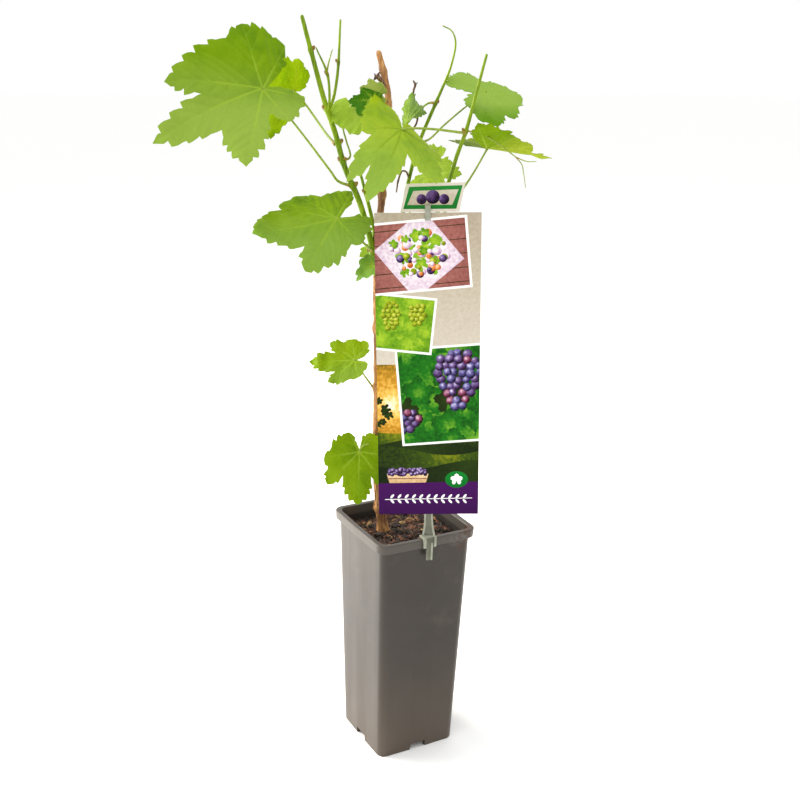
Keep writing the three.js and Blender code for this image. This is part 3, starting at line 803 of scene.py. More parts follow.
def bark_strips(trunk, finish):
    """Thin strips of old bark, loose at their ends, scattered along the stem."""
    tree, ids, given = new_geometry_tree("bark_strips", [
        ("Strip", "NodeSocketObject", None), ("Density", "NodeSocketFloat", 9000.0),
        ("Seed", "NodeSocketInt", 4), ("Finish", "NodeSocketMaterial", None)])
    spread = add_node(tree, "GeometryNodeDistributePointsOnFaces", {
        "Mesh": given["Geometry"], "Density": given["Density"], "Seed": given["Seed"]})
    strip = add_node(tree, "GeometryNodeObjectInfo", {"Object": given["Strip"]})
    upright = add_node(tree, "FunctionNodeAlignRotationToVector", {
        "Vector": spread.outputs["Normal"]}, axis="Z")
    along = add_node(tree, "FunctionNodeAlignRotationToVector", {
        "Rotation": upright.outputs[0], "Vector": (0.0, 0.0, 1.0)}, axis="X", pivot_axis="Z")
    size = add_node(tree, "FunctionNodeRandomValue", {
        0: (4 * mm, 0.7 * mm, 0.6 * mm), 1: (13 * mm, 1.7 * mm, 1.4 * mm), "Seed": 3},
        data_type="FLOAT_VECTOR")
    placed = add_node(tree, "GeometryNodeInstanceOnPoints", {
        "Points": spread.outputs["Points"], "Instance": strip.outputs["Geometry"],
        "Rotation": along.outputs[0], "Scale": size.outputs[0]})
    finish_tree(tree, placed.outputs[0], given["Finish"])
    rings = []
    for step in range(9):
        share = step / 8
        reach = (1 - abs(2 * share - 1) ** 3) * 0.5 + 0.04
        lift = 0.35 * max(0.0, share - 0.6) ** 1.3 * 4 + 0.1
        rings.append([Vector((share - 0.5, -reach, lift)), Vector((share - 0.5, 0, lift + 0.22)),
                      Vector((share - 0.5, reach, lift)), Vector((share - 0.5, 0, lift + 0.06))])
    vertices, faces = skin_rings(rings)
    pattern = new_piece("strip", vertices, [tuple(reversed(face)) for face in faces])
    bed = run_tree(set_down("bark_strips", trunk.data.copy()), tree, ids, Strip=pattern,
                   Finish=finish)
    bpy.data.objects.remove(pattern)
    return bed


trunk_path = smooth_path(TRUNK_PATH, 0.8)
trunk_nodes = along_heights(trunk_path, TRUNK_NODES)
bark = woody_finish()
trunk = grow_limb(
    "woody_stem", [round_tip(swell(trunk_path, trunk_nodes, 0.38, 4.5))], bark,
    Sides=40, Lump_Depth=1.5 * mm, Lump_Length=9 * mm, Lumps_Round=2.6, Seed=3)
trunk_knots = [trunk_path[np.abs(trunk_path[:, 2] - z).argmin()][:3] for z in TRUNK_NODES]
mark_knots(trunk, trunk_knots, 4 * mm)
strips = bark_strips(trunk, bark)
for piece in (trunk, strips):
    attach(piece, "root")
    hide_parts("trunk")

# ---- Green shoots ---------------------------------------------------------------------
# This year's growth: firm, finely ribbed green shoots with brownish swollen nodes. Each node
# carries a small scaly bud in the angle of its leaf, and the tips are cut or still growing.

SHOOTS = {
    "shoot_left": {
        "path": [(-36, -2, 508, 2.9), (-39, -3, 527, 2.8), (-51, 0, 566, 2.7), (-65, 0, 597, 2.6),
                 (-75, -3, 631, 2.5), (-82, -4, 650, 2.4), (-96, -7, 699, 2.0),
                 (-104, -9, 728, 1.7)],
        "nodes": [520, 581, 603, 619, 649, 700]},
    "shoot_left_side": {
        "path": [(-81, -4, 648, 1.6), (-77, -3, 656, 1.5), (-73, 0, 678, 1.3), (-71, 4, 726, 0.9)],
        "nodes": [690]},
    "shoot_left_sprig": {
        "path": [(-81, -4, 645, 1.1), (-79, -11, 659, 1.1), (-81, -12, 680, 1.1),
                 (-91, -13, 702, 0.6)],
        "nodes": [680]},
    "shoot_inner": {
        "path": [(-35, -2, 528, 2.1), (-38, 5, 545, 1.9), (-46, 11, 573, 1.6), (-53, 14, 597, 1.1)],
        "nodes": [573]},
    "shoot_right": {
        "path": [(-31, -3, 392, 2.6), (-22, -6, 420, 2.5), (7, -7, 514, 2.2), (32, -8, 590, 1.9),
                 (38, -8, 612, 1.85), (45, -6, 633, 1.75), (52, -2, 662, 1.5), (61, 4, 700, 1.2)],
        "nodes": [438, 545, 633]},
    "shoot_tendril": {
        "path": [(-33, -2, 452, 2.2), (-26, 6, 480, 2.1), (-14, 11, 530, 2.0), (-6, 14, 584, 1.8),
                 (3, 17, 620, 1.7), (17, 18, 656, 1.5), (30, 18, 690, 1.0), (33, 18, 711, 0.8),
                 (29, 16, 720, 0.6), (21, 14, 724, 0.5)],
        "nodes": [500, 542, 620, 656]},
}


def shoot_finish():
    finish, tree, shader = new_finish("green_shoot", roughness=0.42, Specular_IOR_Level=0.2)
    rib = object_noise(tree, 700, detail=3, stretch=(1, 1, 0.06))
    patch = object_noise(tree, 45, detail=2, stretch=(1, 1, 0.4))
    green = colour_steps(tree, rib, [(0.35, (74, 102, 4)), (0.7, (126, 158, 8))])
    tone = blend_colours(tree, ranged(tree, patch, 0.4, 0.7, 0.0, 0.6), green, (146, 172, 22))
    knot = stored(tree, "knot")
    tone = blend_colours(tree, ranged(tree, knot, 0.3, 1.0, 0.0, 0.7), tone, (88, 66, 16))
    paint(tree, shader, tone)
    add_bump(tree, shader, rib, 0.0003, 0.5)
    return finish


def grow_bud(name, foot, heading, length, finish):
    """A pointed bud of a few overlapping scales on a small cushion."""
    foot = np.array(foot, float)
    ahead = np.array(heading, float)
    ahead /= np.linalg.norm(ahead)
    outline = [(0.0, 0.24), (0.12, 0.30), (0.3, 0.30), (0.5, 0.25), (0.7, 0.16), (0.9, 0.06)]
    body = [np.array([*(foot + ahead * length * s), length * r]) for s, r in outline]
    side = np.cross(ahead, (0.3, 0.9, 0.2))
    side /= np.linalg.norm(side)
    scales = []
    for sign in (1, -1):
        scales.append([np.array([*(foot + ahead * length * s + side * sign * length * 0.2),
                                 length * r * 0.72]) for s, r in outline[:5]])
    return grow_limb(name, [round_tip(np.array(p)) for p in (body, *scales)], finish,
                     Sides=10, Lump_Depth=length * 0.1 * mm, Lump_Length=1 * mm)


def bud_finish():
    finish, tree, shader = new_finish("bud_scales", roughness=0.6)
    fleck = object_noise(tree, 900, detail=3, stretch=(1, 1, 0.3))
    tone = colour_steps(tree, fleck, [
        (0.3, (104, 66, 22)), (0.5, (146, 112, 40)), (0.75, (128, 144, 48))])
    paint(tree, shader, tone)
    add_bump(tree, shader, fleck, 0.0004, 0.6)
    return finish


green_shoot = shoot_finish()
bud_scales = bud_finish()
for seed, (name, shoot) in enumerate(SHOOTS.items()):
    path = smooth_path(shoot["path"], 1.2)
    nodes = along_heights(path, shoot["nodes"])
    stem = grow_limb(
        f"{name}_stem", [round_tip(swell(path, nodes, 0.34, 2.6))], green_shoot,
        Sides=18, Ridges=9, Ridge_Depth=0.05 * mm, Lump_Depth=0.35 * mm,
        Lump_Length=14 * mm, Lumps_Round=1.0, Seed=seed)
    knots = [path[np.abs(path[:, 2] - z).argmin()] for z in shoot["nodes"]]
    mark_knots(stem, [knot[:3] for knot in knots], 3 * mm)
    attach(stem, "root")
    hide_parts(name)
    for count, knot in enumerate(knots):
        lean = 1 if count % 2 else -1
        foot = knot[:3] + np.array([lean * knot[3] * 0.7, -knot[3] * 0.3, 0.6])
        bud = grow_bud(f"{name}_bud_{count}", foot, (lean * 0.55, -0.2, 1.0),
                       2.0 + knot[3] * 0.75, bud_scales)
        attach(bud, "root")

# ---- Leafstalks -----------------------------------------------------------------------
# Slender pale stalks from the nodes to the blades, flushed brownish where they join the
# shoot, with a fine groove along the top.

# heart: where stalk and blade meet. size: length of the middle lobe. turn, dip, roll: heading
# of the midrib about Z, its fall and the blade's roll about it, in degrees. droop curls the
# midrib, fold lifts both halves, cup lowers the margin and twist turns the tip. left and
# right: lobes as (angle from the midrib, length); cuts: the notches between them, and heel:
# the corner beside the stalk, likewise. A cut that is one number lies midway between lobes.
# swelling: how far the lobes' edges bulge. teeth: their depth on the left and right half.
# sinus: the notch at the heart. veins: how strong they are. tone and under: colours of the
# upper and the under skin. vein and gloss: the upper skin's. painted_sheen: the colour of a
# painted sheen and light on one side. painted_sheen_side: that side, in degrees, and
# painted_sheen_span: where towards it the painted sheen starts and is full, in lengths of the middle
# lobe. node: the CAD leaf it goes with.
LEAVES = {
    "big_left": dict(
        heart=(-139, -10, 666), size=113, turn=-135, dip=13, roll=-49,
        droop=0.5, fold=0.32, cup=0.05, tone=(108, 143, 4), under=(116, 142, 62),
        left=[(44, 0.88), (82, 0.4), (144, 0.35)], left_cuts=[(21, 0.58), (62, 0.28), (113, 0.33)],
        right=[(25, 0.8), (100, 0.53), (146, 0.52)],
        right_cuts=[(15, 0.52), (76, 0.46), (130, 0.51)], right_heel=(160, 0.26),
        swelling=0.17, painted_sheen=(134, 161, 59), painted_sheen_side=60,
        stalk=[(-58, 0, 580), (-71, -4, 585), (-78, -5, 594), (-114, -2, 638)]),
    "behind_left": dict(
        heart=(-117, 44, 662), size=55, turn=135, dip=-8, roll=-67, droop=0.1, fold=0.3,
        tone=(112, 138, 8), under=(150, 184, 4), gloss=0.0, vein=(116, 130, 12),
        left=[(48, 0.86), (104, 0.96), (160, 0.45)], left_cuts=[0.6, (76, 0.62), (134, 0.36)],
        right=[(42, 0.7), (88, 0.52), (138, 0.45)], right_cuts=[0.56, (64, 0.5), (112, 0.45)],
        stalk=[(-74, -2, 618), (-83, 9, 626), (-105, 38, 650)]),
    "middle_left": dict(
        heart=(-71, -22, 553), size=88, turn=-146, dip=9, roll=-34,
        droop=-0.2, fold=-0.12, twist=-0.07, tone=(121, 152, 16), under=(116, 142, 62),
        left=[(39, 0.84), (102, 0.4), (163, 0.38)], left_cuts=[(26, 0.57), (89, 0.35), (124, 0.35)],
        right=[(35, 0.61), (69, 0.49), (139, 0.52)],
        right_cuts=[(31, 0.57), (53, 0.53), (95, 0.38)], right_heel=(150, 0.2),
        teeth=(1.0, 0.45), painted_sheen=(126, 158, 59), painted_sheen_side=85, swelling=0.26,
        stalk=[(-37, -3, 519), (-42, -12, 526), (-54, -21, 538), (-64, -22, 547)]),
    "mid_small": dict(
        heart=(-36, -18, 511), size=23, turn=-150, dip=32, roll=-30, droop=0.4, fold=0.2,
        tone=(118, 156, 63), under=(150, 190, 70),
        left=[(30, 0.72), (66, 0.6), (130, 0.4)], left_cuts=[0.7, 0.56, 0.4],
        right=[(14, 0.86), (56, 0.62), (104, 0.56)], right_cuts=[0.8, 0.56, 0.5],
        stalk=[(-36, -2, 496), (-35, -10, 500), (-35, -16, 507)]),
    "inner_left": dict(
        heart=(-60, 0, 652), size=36, turn=-80, dip=32, roll=29, droop=0.32, fold=0.18,
        tone=(131, 160, 39), under=(156, 194, 84),
        left=[(17, 1.1), (72, 0.62), (146, 0.42)], left_cuts=[0.98, 0.66, 0.44],
        right=[(38, 0.68), (97, 0.56), (150, 0.56)], right_cuts=[(18, 0.78), (68, 0.58), (124, 0.55)],
        right_heel=(168, 0.5), swelling=0.24, veins=0.4,
        stalk=[(-66, -4, 606), (-62, -3, 605), (-60, -1, 608), (-64, 1, 621), (-67, 1, 634)]),
    "centre_front": dict(
        heart=(-13, -39, 636), size=79, turn=-95, dip=23, roll=-35, droop=0.65, cup=0.14,
        twist=0.44, tone=(143, 168, 14), under=(162, 192, 70), vein=(112, 140, 22),
        left=[(47, 0.8), (96, 0.59), (151, 0.7)], left_cuts=[0.37, (74, 0.54), (122, 0.5)],
        right=[(20, 0.93), (52, 0.51), (150, 0.62)], right_cuts=[(15, 0.67), (43, 0.43), (106, 0.46)],
        teeth=(0.7, 0.7), painted_sheen=(137, 169, 68), painted_sheen_side=0, painted_sheen_span=(-0.2, 1.0),
        stalk=[(45, -6, 632), (38, -13, 633), (17, -27, 636), (-4, -36, 637)]),
    "folded_small": dict(
        heart=(-9, 20, 637), size=36, turn=87, dip=-53, roll=-47, cup=0.09,
        tone=(69, 102, 4), under=(84, 128, 6), painted_sheen=(112, 146, 10), painted_sheen_side=90,
        left=[(17, 0.9), (36, 0.42), (78, 0.2)], left_cuts=[0.84, 0.4, 0.24], left_heel=(120, 0.14),
        right=[(36, 0.58), (62, 0.62), (90, 0.72)], right_cuts=[(20, 0.66), 0.56, 0.62],
        right_heel=(72, 0.2), swelling=0.12,
        stalk=[(17, 18, 656), (11, 19, 656), (0, 20, 647)]),
    "upper_right": dict(
        heart=(64, 34, 667), size=49, turn=-74, dip=33, roll=-11, droop=0.12, fold=0.05,
        tone=(88, 134, 4), under=(140, 184, 70), painted_sheen=(134, 165, 63), painted_sheen_side=190,
        painted_sheen_span=(-0.85, -0.35),
        left=[(28, 0.84), (87, 0.78), (134, 0.5)], left_cuts=[(21, 0.66), (58, 0.68), (110, 0.62)],
        right=[(24, 1.0), (46, 0.84), (87, 0.87), (136, 0.66)],
        right_cuts=[(13, 0.93), (34, 0.8), (66, 0.34), (114, 0.7)],
        left_heel=(166, 0.34), right_heel=(168, 0.5), sinus=0.36, veins=0.5,
        stalk=[(3, 17, 620), (12, 20, 623), (26, 27, 636), (47, 33, 654)]),
    "edge_right": dict(
        heart=(67, 15, 617), size=67, turn=18, dip=7, roll=-10, droop=0.09, fold=0.36,
        tone=(98, 119, 4), under=(112, 146, 4), painted_sheen=(155, 171, 46), painted_sheen_side=30,
        left=[(34, 0.75), (94, 0.54), (148, 0.57)], left_cuts=[0.56, 0.46, 0.42],
        right=[(28, 0.62), (62, 0.49), (124, 0.79)], right_cuts=[(14, 0.62), (46, 0.5), (96, 0.58)],
        right_heel=(140, 0.46),
        stalk=[(16, -8, 544), (24, 0, 552), (37, 4, 568), (52, 9, 590)]),
    "backlit_centre": dict(
        heart=(14, 28, 592), size=44, turn=-48, dip=-3, roll=59, fold=0.08,
        tone=(122, 150, 4), under=(150, 188, 4),
        left=[(26, 0.63), (66, 0.61), (122, 0.72)], left_cuts=[(16, 0.6), (62, 0.36), (96, 0.58)],
        right=[(26, 0.73), (100, 0.61), (146, 0.57)],
        stalk=[(-12, 12, 542), (-6, 20, 550), (5, 27, 574)]),
    "small_left": dict(
        heart=(-53, 0, 412), size=47, turn=165, dip=9, roll=-49, droop=-0.14, fold=0.18,
        tone=(123, 152, 4), under=(124, 156, 52), painted_sheen=(114, 144, 36), painted_sheen_side=110,
        left=[(48, 0.73), (106, 0.47), (160, 0.33)], left_cuts=[(35, 0.46), (86, 0.47), (128, 0.4)],
        right=[(35, 0.7), (78, 0.46), (129, 0.46)], right_cuts=[(22, 0.46), (56, 0.48), (102, 0.42)],
        right_heel=(163, 0.22), swelling=0.3,
        stalk=[(-33, -3, 384), (-39, -3, 392), (-48, -1, 404)]),
    "lowest_left": dict(
        heart=(-46, -18, 323.5), size=55, turn=-88, dip=75, roll=-2, droop=0.3, fold=0.16, cup=0.05,
        tone=(117, 149, 4), under=(122, 154, 52),
        left=[(40, 0.8), (84, 0.62), (153, 0.39)], left_cuts=[(26, 0.5), (60, 0.62), (98, 0.5)],
        right=[(43, 0.83), (80, 0.64), (151, 0.4)], right_cuts=[(33, 0.52), (62, 0.63), (95, 0.52)],
        right_heel=(164, 0.17), swelling=0.32,
        stalk=[(-31, -3, 322), (-32, -11, 329), (-38, -16, 331), (-44, -17, 328)]),
    # a small leaf whose upper skin is painted dark for the shade it lies in
    "crown_dark": dict(
        heart=(-38, -9, 659), size=25, turn=172, dip=4, roll=-62, fold=0.2, node="inner_left",
        left_cuts=[0.74, 0.6, 0.5], right=[(40, 0.66), (88, 0.5), (140, 0.36)],
        right_cuts=[0.6, 0.5, 0.38], swelling=0.22, tone=(52, 106, 4), under=(130, 170, 70),
        stalk=[(-26, 1, 651), (-29, -5, 653), (-34, -8, 656)]),
    "crown_pale": dict(
        heart=(-34, -7, 664), size=20, turn=165, dip=-14, roll=-104, fold=0.3, node="inner_left",
        left_cuts=[0.7, 0.56, 0.44], right_cuts=[0.7, 0.56, 0.44], veins=0.6,
        tone=(156, 171, 79), under=(136, 164, 72),
        stalk=[(-27, 1, 658), (-29, -4, 659), (-32, -7, 662)]),
    "back_low": dict(
        heart=(8, 34, 380), size=58, turn=62, dip=38, roll=10, droop=0.35, fold=0.15, cup=0.05,
        tone=(112, 146, 10), under=(140, 172, 50),
        stalk=[(-33, -3, 356), (-26, 6, 362), (-8, 22, 374)]),
    "back_middle": dict(
        heart=(24, 38, 470), size=66, turn=78, dip=34, roll=-8, droop=0.3, fold=0.18, cup=0.05,
        tone=(110, 142, 8), under=(140, 172, 50),
        stalk=[(-16, -6, 438), (-8, 8, 446), (10, 26, 462)]),
    "back_high": dict(
        heart=(-12, 56, 520), size=60, turn=104, dip=40, roll=6, droop=0.35, fold=0.16, cup=0.05,
        tone=(116, 148, 12), under=(140, 172, 50),
        stalk=[(-20, 9, 500), (-18, 22, 506), (-14, 42, 516)]),
}
STALK_FOOT = 1.35                       # radius at the shoot, in millimetres
STALK_TOP = 0.85
SMALL_LEAF = 50                         # a leaf shorter than this has a slimmer stalk


def stalk_finish():
    finish, tree, shader = new_finish("leafstalk", roughness=0.4)
    length = stored(tree, "along")
    rib = object_noise(tree, 500, detail=3)
    green = colour_steps(tree, rib, [(0.35, (116, 142, 22)), (0.7, (156, 174, 48))])
    foot = ranged(tree, length, 0.0, 9 * mm, 0.85, 0.0)
    tone = blend_colours(tree, foot, green, (150, 96, 40))
    paint(tree, shader, tone)
    add_bump(tree, shader, rib, 0.0002, 0.4)
    return finish


leafstalk = stalk_finish()
for seed, (name, leaf) in enumerate(LEAVES.items()):
    slim = 0.8 if leaf["size"] < SMALL_LEAF else 1.0
    points = [*leaf["stalk"], leaf["heart"]]
    shares = [i / (len(points) - 1) for i in range(len(points))]
    stations = [(*point, (STALK_FOOT + (STALK_TOP - STALK_FOOT) * share) * slim)
                for point, share in zip(points, shares)]
    path = smooth_path(stations, 1.2)
    path = swell(path, [1.5, run_along(path)[-1]], 0.45, 2.6)
    stalk = grow_limb(f"stalk_{name}", [round_tip(path)], leafstalk, Sides=12, Ridges=3,
                      Ridge_Depth=0.06 * mm, Lump_Depth=0.12 * mm, Seed=seed)
    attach(stalk, "root")
    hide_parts(f"petiole_{leaf.get('node', name)}")

# ---- Leaf blades ----------------------------------------------------------------------
# Thin lobed blades with a coarsely toothed margin. Veins fan out from the heart to the lobes
# and branch to the teeth: fine pale lines sunk between puffed panes above, raised below.

VEIN_TONE = (146, 174, 50)
UNDER_VEIN_TONE = (168, 190, 70)
LOBES = [(46, 0.84), (94, 0.6), (146, 0.44)]
CUTS = [0.54, 0.46, 0.4]
HEEL = (171, 0.16)
HEART_NOTCH = 0.05
EDGE_SWELL = 0.2
FOLD_WIDTH = 0.05
BLADE_THICKNESS = 0.35                  # in millimetres, as all of this section's lengths
BLADE_PITCH = 1.25                      # spacing of the blade's points
ROW_SHARE = 0.866                       # and of their rows, for even triangles
TOOTH_PITCH = 4.2                       # from tooth to tooth on the smallest leaf
TOOTH_GROWTH = 0.066                    # how much wider it gets for each unit of size
TOOTH_DEPTH = 0.5                       # as a share of the tooth's own pitch
TOOTH = [(0.0, -0.4), (0.13, 0.52), (0.5, 0.28), (0.8, -0.08)]
PAINTED_SHEEN_SPAN = (-0.18, 0.27)
TEETH_END = {True: 0.96, False: 0.88}   # share of an edge with teeth, at a shallow or deep notch
SHALLOW = 0.7                           # a notch that leaves this share of its lobes is shallow
LOBE_TIP = [(0.0, 0.0), (0.3, -0.04), (0.7, 0.02), (0.9, -0.2)]
VEIN_WIDTH = 0.26                       # of a main vein at the heart of the smallest leaf
VEIN_GROWTH = 0.3                       # how much wider it gets for each 100 mm of size
HEART_CLEAR = 2.5                       # round the heart the veins have no rows beside them
BOLD_WIDTH = 0.78                       # width of a vein that has its full height
VEIN_SPACING = 0.135                    # between side veins, as a share of the leaf's size
VEIN_STEP = 0.035                       # a side vein's steps, likewise
VEIN_BEND = 0.94                        # share of its angle that each step leaves
CORE = 0.62                             # side veins nearer the heart stay in their own lobe
OUTER_SPREAD = 24                       # degrees that the outermost lobes reach past their vein
VEIN_SINK = 0.12                        # depth of a vein's groove above
VEIN_RAISE = 0.55                       # its height below
PUFF = 0.8                              # height of the panes between veins, at a size of 100
PANE_REACH = 2.6                        # from a vein to where a pane has nearly its height
RUFFLE_PITCH = 0.42                     # between the margin's waves, as a share of the size
RUFFLE_DEPTH = 0.03                     # their height, likewise


def on_rays(angle, share, size):
    """A place on the flat blade by its angle from the midrib and its share of the size."""
    turn = math.radians(angle)
    return np.array([size * share * math.cos(turn), size * share * math.sin(turn)])


def toothed_edge(tip, notch, size, draw, outward, swelling, depth, shallow):
    """The margin from a lobe's tip to a notch: a swelling edge with teeth that lean towards
    the tip. It stays smooth just before the notch. outward is the side that swells."""
    edge = notch - tip
    length = np.linalg.norm(edge)
    out = np.array([edge[1], -edge[0]]) / length * outward
    control = (tip + notch) / 2 + out * length * swelling

    def along(s):
        return tip * (1 - s) ** 2 + control * 2 * s * (1 - s) + notch * s * s

    end = TEETH_END[shallow]
    count = max(1, round(length * end / (TOOTH_PITCH + size * TOOTH_GROWTH)))
    cuts = np.cumsum([draw.uniform(0.8, 1.25) for _ in range(count)])
    cuts = np.concatenate([[0], cuts / cuts[-1]]) * end
    points = []
    for k, (low, high) in enumerate(zip(cuts, cuts[1:])):
        wide = (high - low) * length
        rise = wide * depth * draw.uniform(0.75, 1.25) * (1 - 0.3 * k / count)
        profile = TOOTH if k else LOBE_TIP
        points += [along(low + (high - low) * share) + out * rise * lift
                   for share, lift in profile]
    points.append(along((1 + end) / 2))
    return points


def half_margin(leaf, side, draw):
    """One side of the outline, from the middle tip round to the heel."""
    size = leaf["size"]
    swelling = leaf.get("swelling", EDGE_SWELL)
    depth = TOOTH_DEPTH * leaf.get("teeth", (1.0, 1.0))[side == "right"]
    tips = [(0, 1.0), *leaf.get(side, LOBES)]
    cuts = [cut if isinstance(cut, tuple) else ((here[0] + there[0]) / 2, cut) for cut, here, there
            in zip(leaf.get(f"{side}_cuts", CUTS), tips, tips[1:])]
    cuts.append(leaf.get(f"{side}_heel", HEEL))
    points = []
    before = None
    for lobe, cut in zip(tips, cuts):
        tip, notch = on_rays(*lobe, size), on_rays(*cut, size)
        shallow = cut[1] > SHALLOW * lobe[1]
        if before is not None:
            points += toothed_edge(tip, before, size, draw, -1, swelling, depth, was_shallow)[:0:-1]
        points += [*toothed_edge(tip, notch, size, draw, 1, swelling, depth, shallow), notch]
        before, was_shallow = notch, shallow
    return points


def blade_margin(leaf, draw):
    """The flat outline, anticlockwise from the middle tip, with a point for each pitch."""
    size = leaf["size"]
    left, right = (half_margin(leaf, side, draw) for side in ("left", "right"))
    sinus = on_rays(180, leaf.get("sinus", HEART_NOTCH), size)
    corners = [*left, sinus, *(p * (1, -1) for p in right[:0:-1])]
    outline = []
    for here, there in zip(corners, [*corners[1:], corners[0]]):
        steps = max(1, math.ceil(np.linalg.norm(there - here) / BLADE_PITCH))
        outline += [here + (there - here) * step / steps for step in range(steps)]
    return np.array(outline)


def within(points, outline):
    """Which of the points lie inside a closed outline."""
    x, y = points[:, :1], points[:, 1:]
    x0, y0 = outline[:, 0], outline[:, 1]
    x1, y1 = np.roll(x0, -1), np.roll(y0, -1)
    spans = (y0 > y) != (y1 > y)
    with np.errstate(divide="ignore", invalid="ignore"):
        crosses = x < (x1 - x0) * (y - y0) / (y1 - y0) + x0
    return (spans & crosses).sum(axis=1) % 2 == 1


def gap_to(points, starts, ends):
    """For each point, the gap to the nearest of some segments, and which one that is."""
    best = np.full(len(points), np.inf)
    which = np.zeros(len(points), int)
    for k, (a, b) in enumerate(zip(starts, ends)):
        run = b - a
        share = np.clip((points - a) @ run / max(run @ run, 1e-9), 0, 1)
        gap = np.linalg.norm(points - a - share[:, None] * run, axis=1)
        nearer = gap < best
        best[nearer], which[nearer] = gap[nearer], k
    return best, which


def side_vein(point, ahead, turn, size, outline, lowest, highest):
    """A vein that leaves a lobe's own at an angle and bends towards its tip, as far as the
    margin or, near the heart, the bearings between which its lobe lies."""
    line = [point]
    for _ in range(40):
        heading = np.array([ahead[0] * math.cos(turn) - ahead[1] * math.sin(turn),
                            ahead[0] * math.sin(turn) + ahead[1] * math.cos(turn)])
        point = point + heading * size * VEIN_STEP
        bearing = math.degrees(math.atan2(point[1], point[0]))
        out = not within(point[None], outline)[0]
        strayed = not lowest + 2 < bearing < highest - 2
        if out or (strayed and np.linalg.norm(point) < CORE * size):
            break
        line.append(point)
        turn *= VEIN_BEND
    return line


def vein_lines(leaf, outline, draw):
    """Main veins from the heart to the lobes' tips and side veins towards the teeth, each as
    (points, width at its start, width at its end)."""
    size = leaf["size"]
    lobes = [(0, 1.0)] + leaf.get("left", LOBES) + [(-a, s) for a, s in leaf.get("right", LOBES)]
    lobes.sort()
    width = VEIN_WIDTH + VEIN_GROWTH * size / 100
    lines = []
    for i, (angle, share) in enumerate(lobes):
        tip = on_rays(angle, share, size)
        lines.append((np.array([tip * 0.0, tip * 0.5, tip * 0.985]), width, width * 0.3))
        ahead = tip / np.linalg.norm(tip)
        lowest = (lobes[i - 1][0] + angle) / 2 if i else angle - OUTER_SPREAD
        highest = (lobes[i + 1][0] + angle) / 2 if i + 1 < len(lobes) else angle + OUTER_SPREAD
        count = max(3, round(share / VEIN_SPACING))
        for k in range(count):
            for sign in (1, -1):
                from_heart = (k + 0.9 + 0.25 * sign + draw.uniform(-0.12, 0.12)) / (count + 0.7)
                turn = sign * math.radians(draw.uniform(40, 50))
                line = side_vein(tip * from_heart, ahead, turn, size, outline, lowest, highest)
                if len(line) > 2:
                    lines.append((np.array(line), width * 0.42, width * 0.12))
    return lines


def spaced(line, pitch):
    """Points along a line of points, about a pitch apart."""
    made = []
    for a, b in zip(line, line[1:]):
        steps = max(1, round(np.linalg.norm(b - a) / pitch))
        made += [a + (b - a) * step / steps for step in range(steps)]
    return np.array([*made, line[-1]])


def fill_outline(points, edges, outline, join, sliver=0.0):
    """Flat triangles inside an outline that follow the given edges, all anticlockwise. Points
    nearer than join become one, and triangles of less than half sliver are dropped."""
    flat, _, faces, *_ = delaunay_2d_cdt([Vector(p) for p in points], edges, [], 0, join, False)
    flat = np.array([tuple(p) for p in flat])
    faces = np.array([tuple(face) for face in faces])
    faces = faces[within(flat[faces].mean(axis=1), outline)]
    a, b, c = (flat[faces[:, i]] for i in range(3))
    area = (b[:, 0] - a[:, 0]) * (c[:, 1] - a[:, 1]) - (b[:, 1] - a[:, 1]) * (c[:, 0] - a[:, 0])
    whole = np.abs(area) >= sliver
    faces, area = faces[whole], area[whole]
    faces[area < 0] = faces[area < 0][:, ::-1]
    return flat, faces


def two_skins(tops, count):
    """What a thin sheet has besides its upper faces, with count points above and as many
    below: the strip round the border, the under faces, and the border's edges."""
    edges = dict.fromkeys(edge for face in tops for edge in zip(face, (*face[1:], face[0])))
    border = [edge for edge in edges if edge[::-1] not in edges]
    sides = [(b, a, a + count, b + count) for a, b in border]
    bottoms = [tuple(i + count for i in face[::-1]) for face in tops]
    return sides, bottoms, border


def blade_sheet(leaf, draw):
    """The flat blade as triangles whose edges follow the veins: points, triangles, and for
    each point its closeness to a vein, its gap from veins and from the margin, and the width
    of the nearest vein."""
    outline = blade_margin(leaf, draw)
    lines = vein_lines(leaf, outline, draw)
    points = [*outline]
    edges = []
    for line, wide, _ in lines:
        centre = spaced(line, BLADE_PITCH)
        centre = centre[within(centre, outline)]
        first = len(points)
        points += [*centre]
        edges += [(first + i, first + i + 1) for i in range(len(centre) - 1)]
        beside = np.gradient(centre, axis=0)[:, ::-1] * (1, -1)
        beside /= np.linalg.norm(beside, axis=1, keepdims=True)
        for sign in (1, -1):
            row = centre + beside * sign * (wide * 0.75 + 0.15)
            far = np.linalg.norm(row, axis=1) > HEART_CLEAR
            points += [*row[far & within(row, outline)][::2]]
    tree = KDTree(len(points))
    for i, point in enumerate(points):
        tree.insert((*point, 0), i)
    tree.balance()
    low, high = outline.min(axis=0), outline.max(axis=0)
    columns = np.arange(low[0], high[0], BLADE_PITCH)
    rows = np.arange(low[1], high[1], BLADE_PITCH * ROW_SHARE)
    grid = np.array([(x + (j % 2) * BLADE_PITCH / 2, y) for j, y in enumerate(rows) for x in columns])
    grid = grid[within(grid, outline)]
    points += [p for p in grid if tree.find((*p, 0))[2] > BLADE_PITCH * 0.6]
    edges += [(i, (i + 1) % len(outline)) for i in range(len(outline))]
    flat, faces = fill_outline(points, edges, outline, 1e-5)
    starts = np.concatenate([line[:-1] for line, _, _ in lines])
    ends = np.concatenate([line[1:] for line, _, _ in lines])
    widths = np.concatenate([np.linspace(wide, thin, len(line))[:-1] for line, wide, thin in lines])
    gap, which = gap_to(flat, starts, ends)
    # a vein shows as far as its own width, and a fine one less than a bold one
    bold = widths[which] / widths.max()
    vein = np.clip(1.3 - gap / (widths[which] + 0.1), 0, 1) * (0.12 + 0.88 * bold ** 1.6)
    rim, _ = gap_to(flat, outline, np.roll(outline, -1, axis=0))
    return flat, [tuple(face) for face in faces.tolist()], vein, gap, rim, widths[which]


